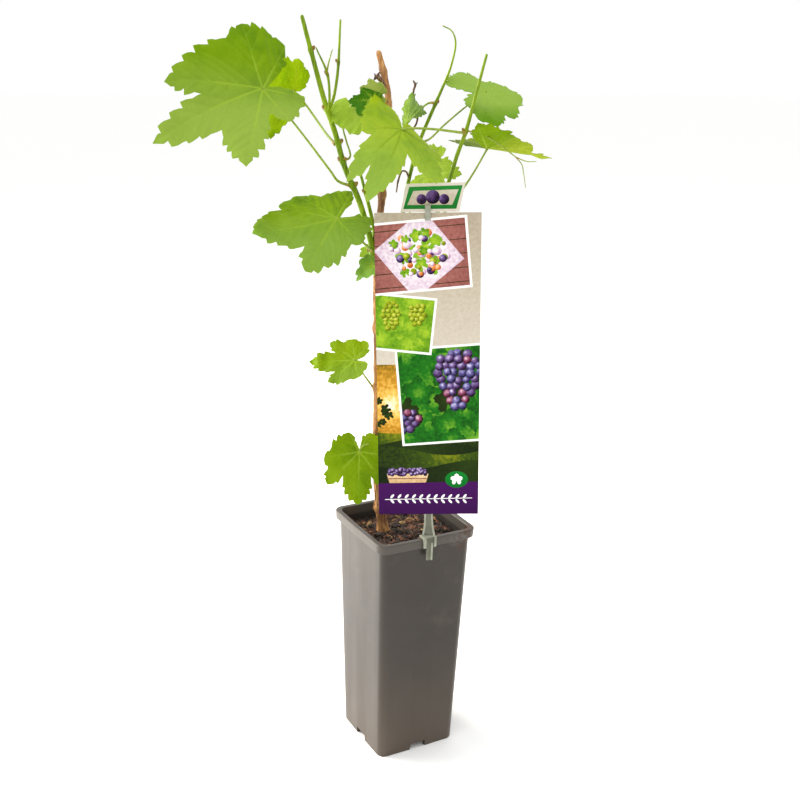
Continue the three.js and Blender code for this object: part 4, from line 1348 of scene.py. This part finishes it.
def bend_blade(leaf, flat, lift):
    """Curls, folds and twists the flat blade; lift is each point's height over it."""
    size = leaf["size"]
    droop, fold, cup, twist = (leaf.get(key, 0) for key in ("droop", "fold", "cup", "twist"))
    along, out = flat[:, 0] / size, flat[:, 1] / size
    curl = droop if abs(droop) > 1e-3 else 1e-3
    raised = fold * (np.hypot(out, FOLD_WIDTH) - FOLD_WIDTH)
    fall = (1 - np.cos(curl * along)) / curl + cup * (along ** 2 + out ** 2)
    turn = twist * along
    return np.stack([np.sin(curl * along) / curl * size, out * np.cos(turn) * size,
                     (raised - fall + out * np.sin(turn)) * size + lift], axis=1)


def blade_finish(name, tone, painted_sheen_tone, vein_tone, roughness, deep, gloss):
    """Green tissue with fine netted veins, paler along the main veins. deep is how much darker
    the netting is than its cells, and gloss how strongly the skin shines."""
    finish, tree, shader = new_finish(name, roughness=roughness, Specular_IOR_Level=gloss)
    place = add_node(tree, "ShaderNodeTexCoord").outputs["Object"]
    cells = add_node(tree, "ShaderNodeTexVoronoi", {"Vector": place, "Scale": 620.0},
                     feature="DISTANCE_TO_EDGE").outputs["Distance"]
    net = ranged(tree, cells, 0.0, 0.12)
    cloud = object_noise(tree, 34, detail=5, rough=0.6)
    red, green, blue = tone
    dark = (red * 0.8, green * 0.87, blue * 0.75)
    light = (red * 1.1, green * 1.05, min(blue * 1.25 + 10, 255))
    base = colour_steps(tree, cloud, [(0.32, dark), (0.52, tone), (0.74, light)])
    # painted sheen and light: the colour is blended towards a paler one on one side of the blade
    painted_sheen = stored(tree, "painted_sheen")
    base = blend_colours(tree, painted_sheen, base, painted_sheen_tone)
    base = blend_colours(tree, ranged(tree, net, 0.0, 1.0, deep, 0.0), base,
                         (red * 0.7, green * 0.78, blue * 0.7))
    rim = stored(tree, "rim")
    base = blend_colours(tree, ranged(tree, rim, 0.0, 1.0, 0.0, 0.3), base, light)
    vein = stored(tree, "vein")
    base = blend_colours(tree, ranged(tree, vein, 0.0, 0.9, 0.0, 0.75), base, vein_tone)
    paint(tree, shader, base)
    sheen = object_noise(tree, 160, detail=3)
    tree.links.new(ranged(tree, sheen, 0.25, 0.75, roughness - 0.06, roughness + 0.08),
                   shader.inputs["Roughness"])
    add_bump(tree, shader, net, 0.00025, 0.35)
    add_bump(tree, shader, object_noise(tree, 300, detail=2), 0.0005, 0.25)
    return finish


def painted_sheen_colour(leaf, side):
    """The colour of a skin's painted sheen and lit side, unless the leaf gives one."""
    lifted = tuple(tone + more for tone, more in zip(leaf[side], (20, 13, 40)))
    return leaf.get("painted_sheen", lifted)


def unfurl(name, leaf, seed):
    """A whole blade: its upper and under skins, with a thin edge between them."""
    draw = random.Random(seed)
    flat, tops, vein, gap, rim, width = blade_sheet(leaf, draw)
    size = leaf["size"]
    ruffle = smooth_noise(seed, waves=5, pitch=RUFFLE_PITCH * size)
    reach = np.linalg.norm(flat, axis=1) / size
    wave = np.array([ruffle(x, y) for x, y in flat]) * RUFFLE_DEPTH * size \
        * np.clip(reach, 0, 1) ** 1.5
    pane = 1 - np.exp(-(gap / PANE_REACH) ** 2)
    puff = PUFF * math.sqrt(size / 100) * pane * np.clip(rim / 3, 0, 1)
    strong = width / BOLD_WIDTH
    # the veins show less towards the tips
    vein = vein * np.clip(1.25 - 1.2 * reach, 0.2, 1) * leaf.get("veins", 1.0)
    upper = bend_blade(leaf, flat, wave + puff - VEIN_SINK * vein * strong)
    under = bend_blade(leaf, flat, wave + puff - BLADE_THICKNESS - VEIN_RAISE * vein * strong)
    spin = Matrix.Rotation(math.radians(leaf["turn"]), 3, "Z") \
        @ Matrix.Rotation(math.radians(leaf["dip"]), 3, "Y") \
        @ Matrix.Rotation(math.radians(leaf["roll"]), 3, "X")
    placed = np.concatenate([upper, under]) @ np.array(spin).T + np.array(leaf["heart"])
    count = len(flat)
    sides, bottoms, border = two_skins(tops, count)
    finishes = (
        blade_finish(f"{name}_upper", leaf["tone"], painted_sheen_colour(leaf, "tone"),
                     leaf.get("vein", VEIN_TONE), 0.46, 0.12, leaf.get("gloss", 0.05)),
        blade_finish(f"{name}_under", leaf["under"], painted_sheen_colour(leaf, "under"),
                     UNDER_VEIN_TONE, 0.6, 0.2, 0.01))
    blade = new_piece(name, [in_crown(*p) for p in placed], [*tops, *sides, *bottoms], *finishes)
    skins = [0] * (len(tops) + len(sides)) + [1] * len(bottoms)
    blade.data.polygons.foreach_set("material_index", skins)
    # painted sheen and light: how far each point lies towards the blade's paler side
    side = math.radians(leaf.get("painted_sheen_side", 0))
    lit = flat @ np.array([math.cos(side), math.sin(side)]) / size
    painted_sheen = np.interp(lit, leaf.get("painted_sheen_span", PAINTED_SHEEN_SPAN), (0, 1)) * ("painted_sheen_side" in leaf)
    for label, values in (("vein", vein), ("rim", np.exp(-rim / 0.8)), ("painted_sheen", painted_sheen)):
        store(blade, label, np.tile(values, 2))
    rims = {frozenset(edge) for edge in border}
    rims |= {frozenset((a + count, b + count)) for a, b in border}
    for edge in blade.data.edges:
        edge.use_edge_sharp = frozenset(edge.vertices) in rims
    return blade


for seed, (name, leaf) in enumerate(LEAVES.items()):
    blade = unfurl(f"blade_{name}", leaf, 40 + seed)
    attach(blade, "root")
    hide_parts(f"leaf_{leaf.get('node', name)}")

# ---- Tendrils and dry remains ---------------------------------------------------------
# Thin wiry tendrils that fork and curl from the shoots, and what is left of older growth: a
# dry side twig, a brown hooked tendril and a papery husk by the pruned end of the stem.

TENDRILS = {                            # across, away, up and radius, in millimetres
    "tendril_right": [
        [(45, -6, 634, 0.9), (58, -9, 632, 0.75), (71, -11, 626, 0.7), (92, -13, 612, 0.6)],
        [(91, -13, 612.6, 0.55), (101, -13, 609, 0.5), (110, -13, 609, 0.35)],
        [(91, -13, 612.6, 0.55), (97, -13, 606, 0.5), (99, -13, 599, 0.45), (102, -11, 585, 0.3)]],
    "tendril_left": [
        [(-82, -11, 679, 1.0), (-80, -10, 690, 0.7), (-77, -9, 701, 0.45)]],
}
DRY_REMAINS = {
    "dry_twig": [
        [(1, 17, 614, 1.4), (-4, 28, 626.5, 1.1), (0.7, 40, 640, 0.9), (-3.9, 48, 664, 0.9),
         (-2.5, 50, 671, 1.3), (-4.2, 50, 674, 0.7)],
        [(-2.8, 50, 670, 0.7), (-0.6, 50, 672.5, 0.4)]],
    "dry_hook": [
        [(-6, 13, 589, 1.0), (-9, 3, 595, 0.9), (-12, 1, 595, 0.8), (-15.4, 0, 586, 0.9),
         (-16.6, 0, 576, 0.6)]],
    "papery_husk": [
        [(-29, -1, 671, 0.9), (-32, -1.5, 674, 1.9), (-35, -3, 677.5, 2.3), (-37.5, -4, 678.5, 1.9),
         (-39, -4, 676.5, 0.9)],
        [(-34, -2, 676, 1.6), (-36, -3.5, 680, 1.7), (-35, -4, 682.5, 0.5)],
        [(-38, -4, 679, 1.2), (-39.2, -4, 681.5, 0.35)]],
}


def dry_finish():
    finish, tree, shader = new_finish("dry_stem", roughness=0.85)
    fibre = object_noise(tree, 700, detail=4, stretch=(1, 1, 0.3))
    tone = colour_steps(tree, fibre, [
        (0.3, (52, 36, 26)), (0.52, (104, 76, 54)), (0.75, (176, 142, 100))])
    paint(tree, shader, tone)
    add_bump(tree, shader, fibre, 0.0006, 0.8)
    return finish


dry_stem = dry_finish()
for group, finish, lump in ((TENDRILS, leafstalk, 0.1), (DRY_REMAINS, dry_stem, 0.9)):
    for seed, (name, arms) in enumerate(group.items()):
        paths = [round_tip(smooth_path(arm, 0.7)) for arm in arms]
        piece = grow_limb(name, paths, finish, Sides=10, Lump_Depth=lump * mm,
                          Lump_Length=3 * mm, Seed=seed)
        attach(piece, "root")

# ---- Label clip and stick -------------------------------------------------------------
# Cloudy grey-green plastic. A spring clip hooks over the pot's rim and carries a tapered
# channel-section stick, whose hooked tip holds the two cards.

LABEL_LEAN = math.radians(-2.2)         # its top towards the crown's left
LABEL_FOOT = Vector((-2.0, -53.8, 249.5))
LABEL_SPIN = Matrix.Rotation(CROWN_TURN, 3, "Z") @ Matrix.Rotation(LABEL_LEAN, 3, "Y")
CLIP_ACROSS = -2.0
STICK_SKIN = 1.2                        # half its thickness; all of this section is in mm
STICK_WEB = -0.2                        # front of the web between its rails
STICK_HALF_WIDTHS = [(0, 6.3), (3, 6.0), (8, 5.0), (14, 4.4), (24, 4.1), (180, 3.2), (334, 2.5)]
HOOK_PROFILE = [(1.2, 316.3), (1.2, 317.9), (-2.6, 317.9), (-2.6, 323), (-3.8, 323), (-3.8, 309),
                (-2.6, 309), (-2.6, 316.3)]
RAIL_WIDTH = 1.9                        # at most, and this share of the stick's half width
RAIL_SHARE = 0.42
WEB_TOP = 308                           # above this the stick has the rails' tone all over
HOOK_HALF = 2.5
CLIP_PROFILE = [(-57.1, 237.5), (-55.3, 237.5), (-55.3, 246.7), (-47.15, 246.7), (-47.15, 248.5),
                (-57.1, 248.5)]
CLIP_HALF = 7
CLIP_SLABS = [                          # left, right, front, back, low and high
    (-4.9, 4.9, -48.35, -46.55, 232.5, 248.2),              # the leg inside the rim
    (-3, 3, -57.3, -55.35, 224.5, 247.6),                   # the tongue outside it
    (-7, -4.4, -58.1, -56.6, 238.3, 249.3),                 # two ribs on its face
    (4.4, 7, -58.1, -56.6, 238.3, 249.3),
    (0.9, 3, -58.2, -56.6, 224.5, 243)]                     # and one down the tongue
CLIP_FACE = (-57.4, -57.0)              # where the flush parts of its front lie


def on_label(x, y, z):
    """A point across, behind and up the label, in millimetres, to the frame."""
    return (LABEL_SPIN @ Vector((x, y, z)) + LABEL_FOOT) * mm


def on_pot(x, y, z):
    return Vector((x + CLIP_ACROSS, y, z)) * mm


def extrude_across(profile, left, right):
    """The two ends of a bar whose side profile is (y, z)."""
    return [[(x, y, z) for y, z in profile] for x in (left, right)]


def slab(left, right, front, back, low, high):
    """The two ends of a plain block."""
    return extrude_across([(front, low), (back, low), (back, high), (front, high)], left, right)


def build_bars(name, bars, place, bevel, *finishes):
    """A piece of several closed bars, each a list of equal rings, with rounded edges."""
    vertices, faces = [], []
    for rings in bars:
        spots, skin = skin_rings([[place(*p) for p in ring] for ring in rings])
        first = len(vertices)
        vertices += spots
        faces += [tuple(first + i for i in face) for face in skin]
    piece = new_piece(name, vertices, faces, *finishes)
    shell = bmesh.new()
    shell.from_mesh(piece.data)
    bmesh.ops.recalc_face_normals(shell, faces=shell.faces)
    shell.to_mesh(piece.data)
    shell.free()
    rounding = piece.modifiers.new("rounding", "BEVEL")
    rounding.width = bevel * mm
    rounding.segments = 2
    rounding.limit_method = "ANGLE"
    settle(piece)
    sharpen(piece, 50)
    return piece


def clear_plastic(name, light, dark):
    """Cloudy plastic: milky, darker and lighter in random clouds, with fine flow lines."""
    finish, tree, shader = new_finish(name, roughness=0.3)
    cloud = object_noise(tree, 120, detail=4)
    flow = object_noise(tree, 600, detail=2, stretch=(1, 1, 0.08))
    tone = colour_steps(tree, cloud, [(0.3, dark), (0.7, light)])
    tone = blend_colours(tree, ranged(tree, flow, 0.35, 0.65, 0.0, 0.25), tone, dark)
    paint(tree, shader, tone)
    add_bump(tree, shader, flow, 0.0001, 0.4)
    return finish


def channel_ring(half, z):
    """A cross-section of the stick: a web between two rails that stand forward."""
    rail = min(RAIL_WIDTH, half * RAIL_SHARE)
    front = -STICK_SKIN
    return [(-half, front, z), (rail - half, front, z), (rail - half, STICK_WEB, z),
            (half - rail, STICK_WEB, z), (half - rail, front, z), (half, front, z),
            (half, STICK_SKIN, z), (-half, STICK_SKIN, z)]


rail_plastic = clear_plastic("clear_rails", (160, 162, 146), (126, 130, 110))
# painted shade: a darker plastic for the stick's groove, where the dark compost behind is also painted
# in, and for the clip's recessed flush faces
plastic_painted_recess_shade = clear_plastic("clear_painted_recess_shade", (104, 106, 88), (74, 74, 58))
stick = build_bars(
    "label_stick_channel",
    [[channel_ring(half, z) for z, half in STICK_HALF_WIDTHS],
     extrude_across(HOOK_PROFILE, -HOOK_HALF, HOOK_HALF)],
    on_label, 0.25, rail_plastic, plastic_painted_recess_shade)
label_unspin = LABEL_SPIN.inverted()
# the web's faces take the painted shade
for face in stick.data.polygons:
    middle = label_unspin @ (face.center / mm - LABEL_FOOT)
    face.material_index = int(abs(middle.y - STICK_WEB) < 0.2 and middle.z < WEB_TOP)
clip = build_bars(
    "label_rim_clip",
    [extrude_across(CLIP_PROFILE, -CLIP_HALF, CLIP_HALF), *(slab(*sizes) for sizes in CLIP_SLABS)],
    on_pot, 0.35, rail_plastic, plastic_painted_recess_shade)
# the clip's flush faces take the painted shade
for face in clip.data.polygons:
    flush = CLIP_FACE[0] < face.center.y / mm < CLIP_FACE[1] and face.normal.y < -0.9
    face.material_index = int(flush)
for piece, node in ((stick, "label_stick"), (clip, "label_clip")):
    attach(piece, "root")
    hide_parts(node)

# ---- Cards ----------------------------------------------------------------------------
# Two glossy printed plastic cards held by the stick: a tall one with tilted pictures over a
# field and a plum band, and a small one above it in a green frame. Plain motifs, no lettering.

CARD_HALF = 48.0                        # all of this section is in millimetres
CARD_FRONT = -2.3
CARD_BACK = -1.5
CARD_LOW, CARD_HIGH = 24.0, 316.0
PICTURE_BORDER = 2.2
HEADER = [(-24.5, 316.6), (28, 316.6), (33.5, 342.6), (-19, 341.4)]
INKS = {                                # tones from shade 0 to 1
    "ground": [(166, 153, 132), (188, 177, 157), (206, 197, 182)],
    "white": [(240, 239, 234), (250, 250, 248)],
    "sky": [(92, 84, 22), (196, 140, 40), (240, 196, 96), (255, 250, 226)],
    "field": [(26, 40, 10), (58, 80, 14), (132, 138, 18)],
    "rows": [(18, 30, 8), (40, 60, 12)],
    "foliage": [(10, 52, 12), (30, 112, 22), (112, 168, 44)],
    "young_leaf": [(44, 98, 14), (112, 160, 28), (170, 200, 50)],
    "dark_berry": [(22, 10, 28), (72, 46, 92), (122, 100, 152), (214, 204, 232)],
    "red_berry": [(34, 8, 20), (104, 38, 66), (160, 98, 124), (226, 196, 212)],
    "blue_berry": [(18, 12, 36), (66, 58, 108), (124, 116, 170), (212, 210, 236)],
    "green_berry": [(78, 96, 10), (158, 172, 30), (222, 224, 110)],
    "boards": [(104, 54, 48), (156, 96, 88), (186, 130, 118)],
    "cloth": [(176, 130, 170), (232, 220, 226), (250, 246, 240)],
    "apricot": [(176, 78, 28), (230, 150, 84), (250, 214, 170)],
    "basket": [(122, 84, 46), (198, 160, 110), (232, 208, 168)],
    "band": [(50, 8, 66), (66, 14, 84)],
    "badge": [(4, 100, 26), (14, 124, 44)],
    "frame": [(24, 104, 36), (38, 130, 52)],
}


def ink_finish(name, tones):
    """A printed tone under clear lacquer; the attribute shade picks its step."""
    finish, tree, shader = new_finish(f"ink_{name}", roughness=0.4, Specular_IOR_Level=0.07)
    shade = stored(tree, "shade")
    mottle = ranged(tree, object_noise(tree, 340, detail=4), 0.3, 0.7, -0.16, 0.16)
    value = reckon(tree, "ADD", shade, mottle)
    steps = [(i / (len(tones) - 1), tone) for i, tone in enumerate(tones)]
    paint(tree, shader, colour_steps(tree, value, steps))
    add_bump(tree, shader, object_noise(tree, 40, detail=1), 0.0006, 0.1)
    return finish


def turned(middle, x, z, degrees):
    """A place given from a middle and turned round it."""
    cos, sin = math.cos(math.radians(degrees)), math.sin(math.radians(degrees))
    return middle[0] + x * cos - z * sin, middle[1] + x * sin + z * cos


def tilted(middle, wide, high, degrees):
    """The corners of a tilted rectangle."""
    return np.array([turned(middle, x * wide / 2, z * high / 2, degrees)
                     for x, z in ((-1, -1), (1, -1), (1, 1), (-1, 1))])


def oval(middle, wide, high=None, sides=14, degrees=0.0):
    """An oval by its half width and half height, or a circle by its radius."""
    turns = [2 * math.pi * i / sides for i in range(sides)]
    return np.array([turned(middle, wide * math.cos(a), (high or wide) * math.sin(a), degrees)
                     for a in turns])


def leaf_outline(middle, size, degrees):
    """A plain five-lobed leaf."""
    ring = []
    for i in range(40):
        a = 2 * math.pi * i / 40
        reach = size * (0.66 + 0.3 * abs(math.cos(2.5 * a)) - 0.1 * (i % 2)
                        - 0.5 * math.exp(-((a - math.pi) / 0.25) ** 2))
        turn = a + math.radians(degrees)
        ring.append((middle[0] + reach * math.cos(turn), middle[1] + reach * math.sin(turn)))
    return np.array(ring)


def ball(middle, radius):
    """Shading of a round berry lit from the upper left."""
    spot = np.array(middle) + radius * np.array([-0.3, 0.35])
    return lambda p: 1 - np.linalg.norm(p - spot, axis=1) / (1.3 * radius)


def glow(middle, reach):
    """Shading that is light at a middle and falls off round it."""
    return lambda p: np.exp(-np.linalg.norm(p - np.array(middle), axis=1) / reach)


def rise(low, high):
    """Shading that goes from dark at one height to light at another."""
    return lambda p: (p[:, 1] - low) / (high - low)


NEAR_DARK = rise(0, 900)                # an almost even shade, the lighter the higher it lies
GROUND_SHADE = rise(340, 170)


def bunch(middle, rows, radius, draw, ink, window):
    """Berries in a hanging bunch that narrows downwards, each in one of some inks; rows gives
    the berries in each row."""
    shapes = []
    for j, count in enumerate(rows):
        for i in range(count):
            spot = (middle[0] + (i - (count - 1) / 2 + draw.uniform(-0.2, 0.2)) * radius * 1.75,
                    middle[1] - (j + draw.uniform(-0.2, 0.2)) * radius * 1.5)
            size = radius * draw.uniform(0.86, 1.1)
            shapes.append((oval(spot, size), window, draw.choice(ink), ball(spot, size)))
    draw.shuffle(shapes)
    return shapes


def foliage(middle, spread, size, count, draw, ink, window):
    """Leaves strewn over a rectangle that reaches as far as spread each way."""
    shapes = []
    for _ in range(count):
        spot = (middle[0] + draw.uniform(-1, 1) * spread[0],
                middle[1] + draw.uniform(-1, 1) * spread[1])
        reach = size * draw.uniform(0.7, 1.2)
        shapes.append((leaf_outline(spot, reach, draw.uniform(0, 360)), window, ink,
                       glow(spot, reach * draw.uniform(0.5, 1.4))))
    return shapes


def picture(middle, wide, high, degrees, ink):
    """A tilted picture with a white border: its shapes and its window."""
    edge = tilted(middle, wide, high, degrees)
    window = tilted(middle, wide - 2 * PICTURE_BORDER, high - 2 * PICTURE_BORDER, degrees)
    shapes = [(edge, None, "white", NEAR_DARK), (window, None, ink, glow(middle, wide * 0.5))]
    return shapes, window


def landscape(draw):
    """A low sun over rows of hills, with a bush against the sky."""
    shapes = [(tilted((0, 105), 120, 162, 0), None, "sky", glow((-35, 136), 22))]
    for level, (height, ink) in enumerate([(112, "field"), (98, "rows"), (92, "field"), (78, "rows")]):
        hill = [(x, height + 5 * math.sin(x / 21 + level * 1.9) - level) for x in range(-54, 55, 6)]
        shapes.append((np.array([(-54, 20), (54, 20), *reversed(hill)]), None, ink,
                       glow((-30 + 24 * level, height - 2), 26)))
    return shapes + foliage((-40, 128), (12, 12), 5, 7, draw, "rows", None)


def bunch_picture(draw):
    """The large picture: a dark bunch among leaves."""
    middle, inks = (13, 145), ["dark_berry", "dark_berry", "red_berry", "blue_berry", "blue_berry"]
    shapes, window = picture(middle, 82, 96, 4, "foliage")
    shapes += foliage(middle, (42, 48), 17, 26, draw, "foliage", window)
    shapes += foliage((20, 160), (12, 26), 13, 7, draw, "rows", window)
    shapes += foliage((-22, 122), (8, 12), 12, 4, draw, "rows", window)
    shapes += bunch((28, 186), (3, 5, 6, 6, 5, 5, 4, 3, 2), 4.3, draw, inks, window)
    return shapes + bunch((-20, 128), (3, 4, 3, 2), 4, draw, inks, window)


def young_picture(draw):
    """The small picture: young pale berries."""
    middle = (-24, 214)
    shapes, window = picture(middle, 60, 54, -6, "young_leaf")
    shapes += foliage(middle, (28, 26), 11, 20, draw, "young_leaf", window)
    shapes += bunch((-34, 234), (2, 3, 4, 4, 3, 3, 2), 2.6, draw, ["green_berry"], window)
    return shapes + bunch((-10, 230), (3, 3, 4, 3, 2), 2.6, draw, ["green_berry"], window)


def fruit_picture(draw):
    """The top picture: mixed fruit on a cloth over boards."""
    shapes, window = picture((-8, 277), 92, 66, 5, "boards")
    for row in range(5):
        shapes.append((tilted((-8, 250 + 13 * row), 100, 0.7, 5), window, "rows", NEAR_DARK))
    shapes.append((tilted((-8, 278), 58, 58, 40), window, "cloth", glow((-8, 278), 30)))
    for _ in range(90):
        turn, reach = draw.uniform(0, 2 * math.pi), 26 * math.sqrt(draw.random())
        spot = (-8 + reach * math.cos(turn), 279 + 0.78 * reach * math.sin(turn))
        ink = draw.choice(["green_berry", "young_leaf", "dark_berry", "apricot", "cloth"])
        if ink == "young_leaf":
            shapes += foliage(spot, (0, 0), 6, 1, draw, ink, window)
        else:
            size = draw.uniform(2, 4)
            shapes.append((oval(spot, size), window, ink, ball(spot, size)))
    return shapes


def basket(draw):
    """A slatted basket heaped with dark berries."""
    side = np.array([(-40, 66), (-35, 47), (-5, 47), (0, 66)])
    shapes = [(side, None, "basket", rise(40, 72))]
    shapes += [(tilted((-20, 51 + 5 * k), 34 + 2.5 * k, 0.8, 0), None, "boards", NEAR_DARK)
               for k in range(3)]
    for _ in range(70):
        spot = (-20 + draw.uniform(-18, 18), 66 + draw.uniform(-1, 5))
        shapes.append((oval(spot, 2), None, "dark_berry", ball(spot, 2)))
    return shapes


def band_and_badge():
    """The band with its garland of leaf pairs, and a badge above it with a plain leaf."""
    line, badge = (0, 40), (27, 60)
    shapes = [(tilted(line, 120, 34, 1), None, "band", rise(20, 60)),
              (oval(badge, 11, 8.5, 28), None, "badge", rise(50, 70)),
              (leaf_outline(badge, 6.5, 90), None, "white", rise(0, 70)),
              (tilted(line, 84, 0.7, 1), None, "white", rise(0, 70))]
    for k in range(11):
        for side in (1, -1):
            leaf = (-35 + 7 * k, line[1] + 2.6 * side)
            shapes.append((oval(leaf, 2.6, 1.1, 12, 50 * side), None, "white", rise(0, 70)))
    return shapes


def card_shapes():
    """The tall card's print from back to front: (outline, window it is cut to, ink, shade)."""
    draw = random.Random(8)
    shapes = landscape(draw)
    shapes.append((tilted((0, 250), 120, 150, 0), None, "ground", GROUND_SHADE))
    for part in (bunch_picture, young_picture, fruit_picture, basket):
        shapes += part(draw)
    return shapes + band_and_badge()


def shrink(outline, step):
    """A four-cornered outline drawn in by a step on every side."""
    middle = outline.mean(axis=0)
    return outline - np.sign(outline - middle) * step


def header_shapes():
    outline = np.array(HEADER)
    middle = outline.mean(axis=0)
    shapes = [(shrink(outline, -3), None, "ground", rise(300, 320)),
              (shrink(outline, 2.6), None, "frame", rise(318, 344)),
              (shrink(outline, 6.2), None, "ground", rise(318, 344))]
    for x, z, size in ((-10, -1.5, 4.6), (10, -1.5, 4.6), (0, 0.5, 6.2)):
        spot = (middle[0] + x, middle[1] + z)
        shapes.append((oval(spot, size, sides=24), None, "dark_berry", ball(spot, size)))
    return shapes


def lay_ink(flat, faces, centres, shapes, order):
    """Each face's ink, by its place in an order, and the shade at each of its corners."""
    ink = np.zeros(len(faces), int)
    shade = np.full(faces.shape, 0.5)
    for ring, window, tone, shading in shapes:
        hit = within(centres, ring)
        if window is not None:
            hit &= within(centres, window)
        ink[hit] = order.index(tone)
        shade[hit] = shading(flat[faces[hit]].reshape(-1, 2)).reshape(-1, 3)
    return ink, shade


def print_card(name, outline, shapes, inks):
    """A thin card whose front is divided along the printed shapes; the last one on top wins.
    Its back has only the ground and the band."""
    points, edges = [], []
    for ring in (outline, *(shape[0] for shape in shapes)):
        first = len(points)
        points += [*ring]
        edges += [(first + i, first + (i + 1) % len(ring)) for i in range(len(ring))]
    flat, faces = fill_outline(points, edges, outline, 1e-4, 1e-7)
    used = np.unique(faces)
    renumber = np.full(len(flat), -1)
    renumber[used] = np.arange(len(used))
    flat, faces = flat[used], renumber[faces]
    centres = flat[faces].mean(axis=1)
    order = list(inks)
    ink, shade = lay_ink(flat, faces, centres, shapes, order)
    plain = [(outline, None, "ground", GROUND_SHADE), *(s for s in shapes if s[2] == "band")]
    back_ink, back_shade = lay_ink(flat, faces, centres, plain, order)
    fronts = [tuple(face) for face in faces.tolist()]
    sides, backs, _ = two_skins(fronts, len(flat))
    vertices = [on_label(x, y, z) for y in (CARD_FRONT, CARD_BACK) for x, z in flat.tolist()]
    card = new_piece(name, vertices, [*fronts, *sides, *backs], *inks.values())
    edge_ink = [order.index("white")] * len(sides)
    card.data.polygons.foreach_set("material_index", [*ink.tolist(), *edge_ink, *back_ink.tolist()])
    edge_shade = np.full(4 * len(sides), 0.4)
    corners = np.concatenate([shade.ravel(), edge_shade, back_shade[:, ::-1].ravel()])
    store(card, "shade", corners, "CORNER")
    sharpen(card, 40)
    return card


inks = {name: ink_finish(name, tones) for name, tones in INKS.items()}
card_outline = np.array([(-CARD_HALF, CARD_LOW), (CARD_HALF, CARD_LOW), (CARD_HALF, CARD_HIGH),
                         (-CARD_HALF, CARD_HIGH)])
for name, node, outline, shapes in (
        ("picture_card", "label_card", card_outline, card_shapes()),
        ("header_card", "label_header", np.array(HEADER), header_shapes())):
    card = print_card(name, outline, shapes, inks)
    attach(card, "root")
    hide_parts(node)
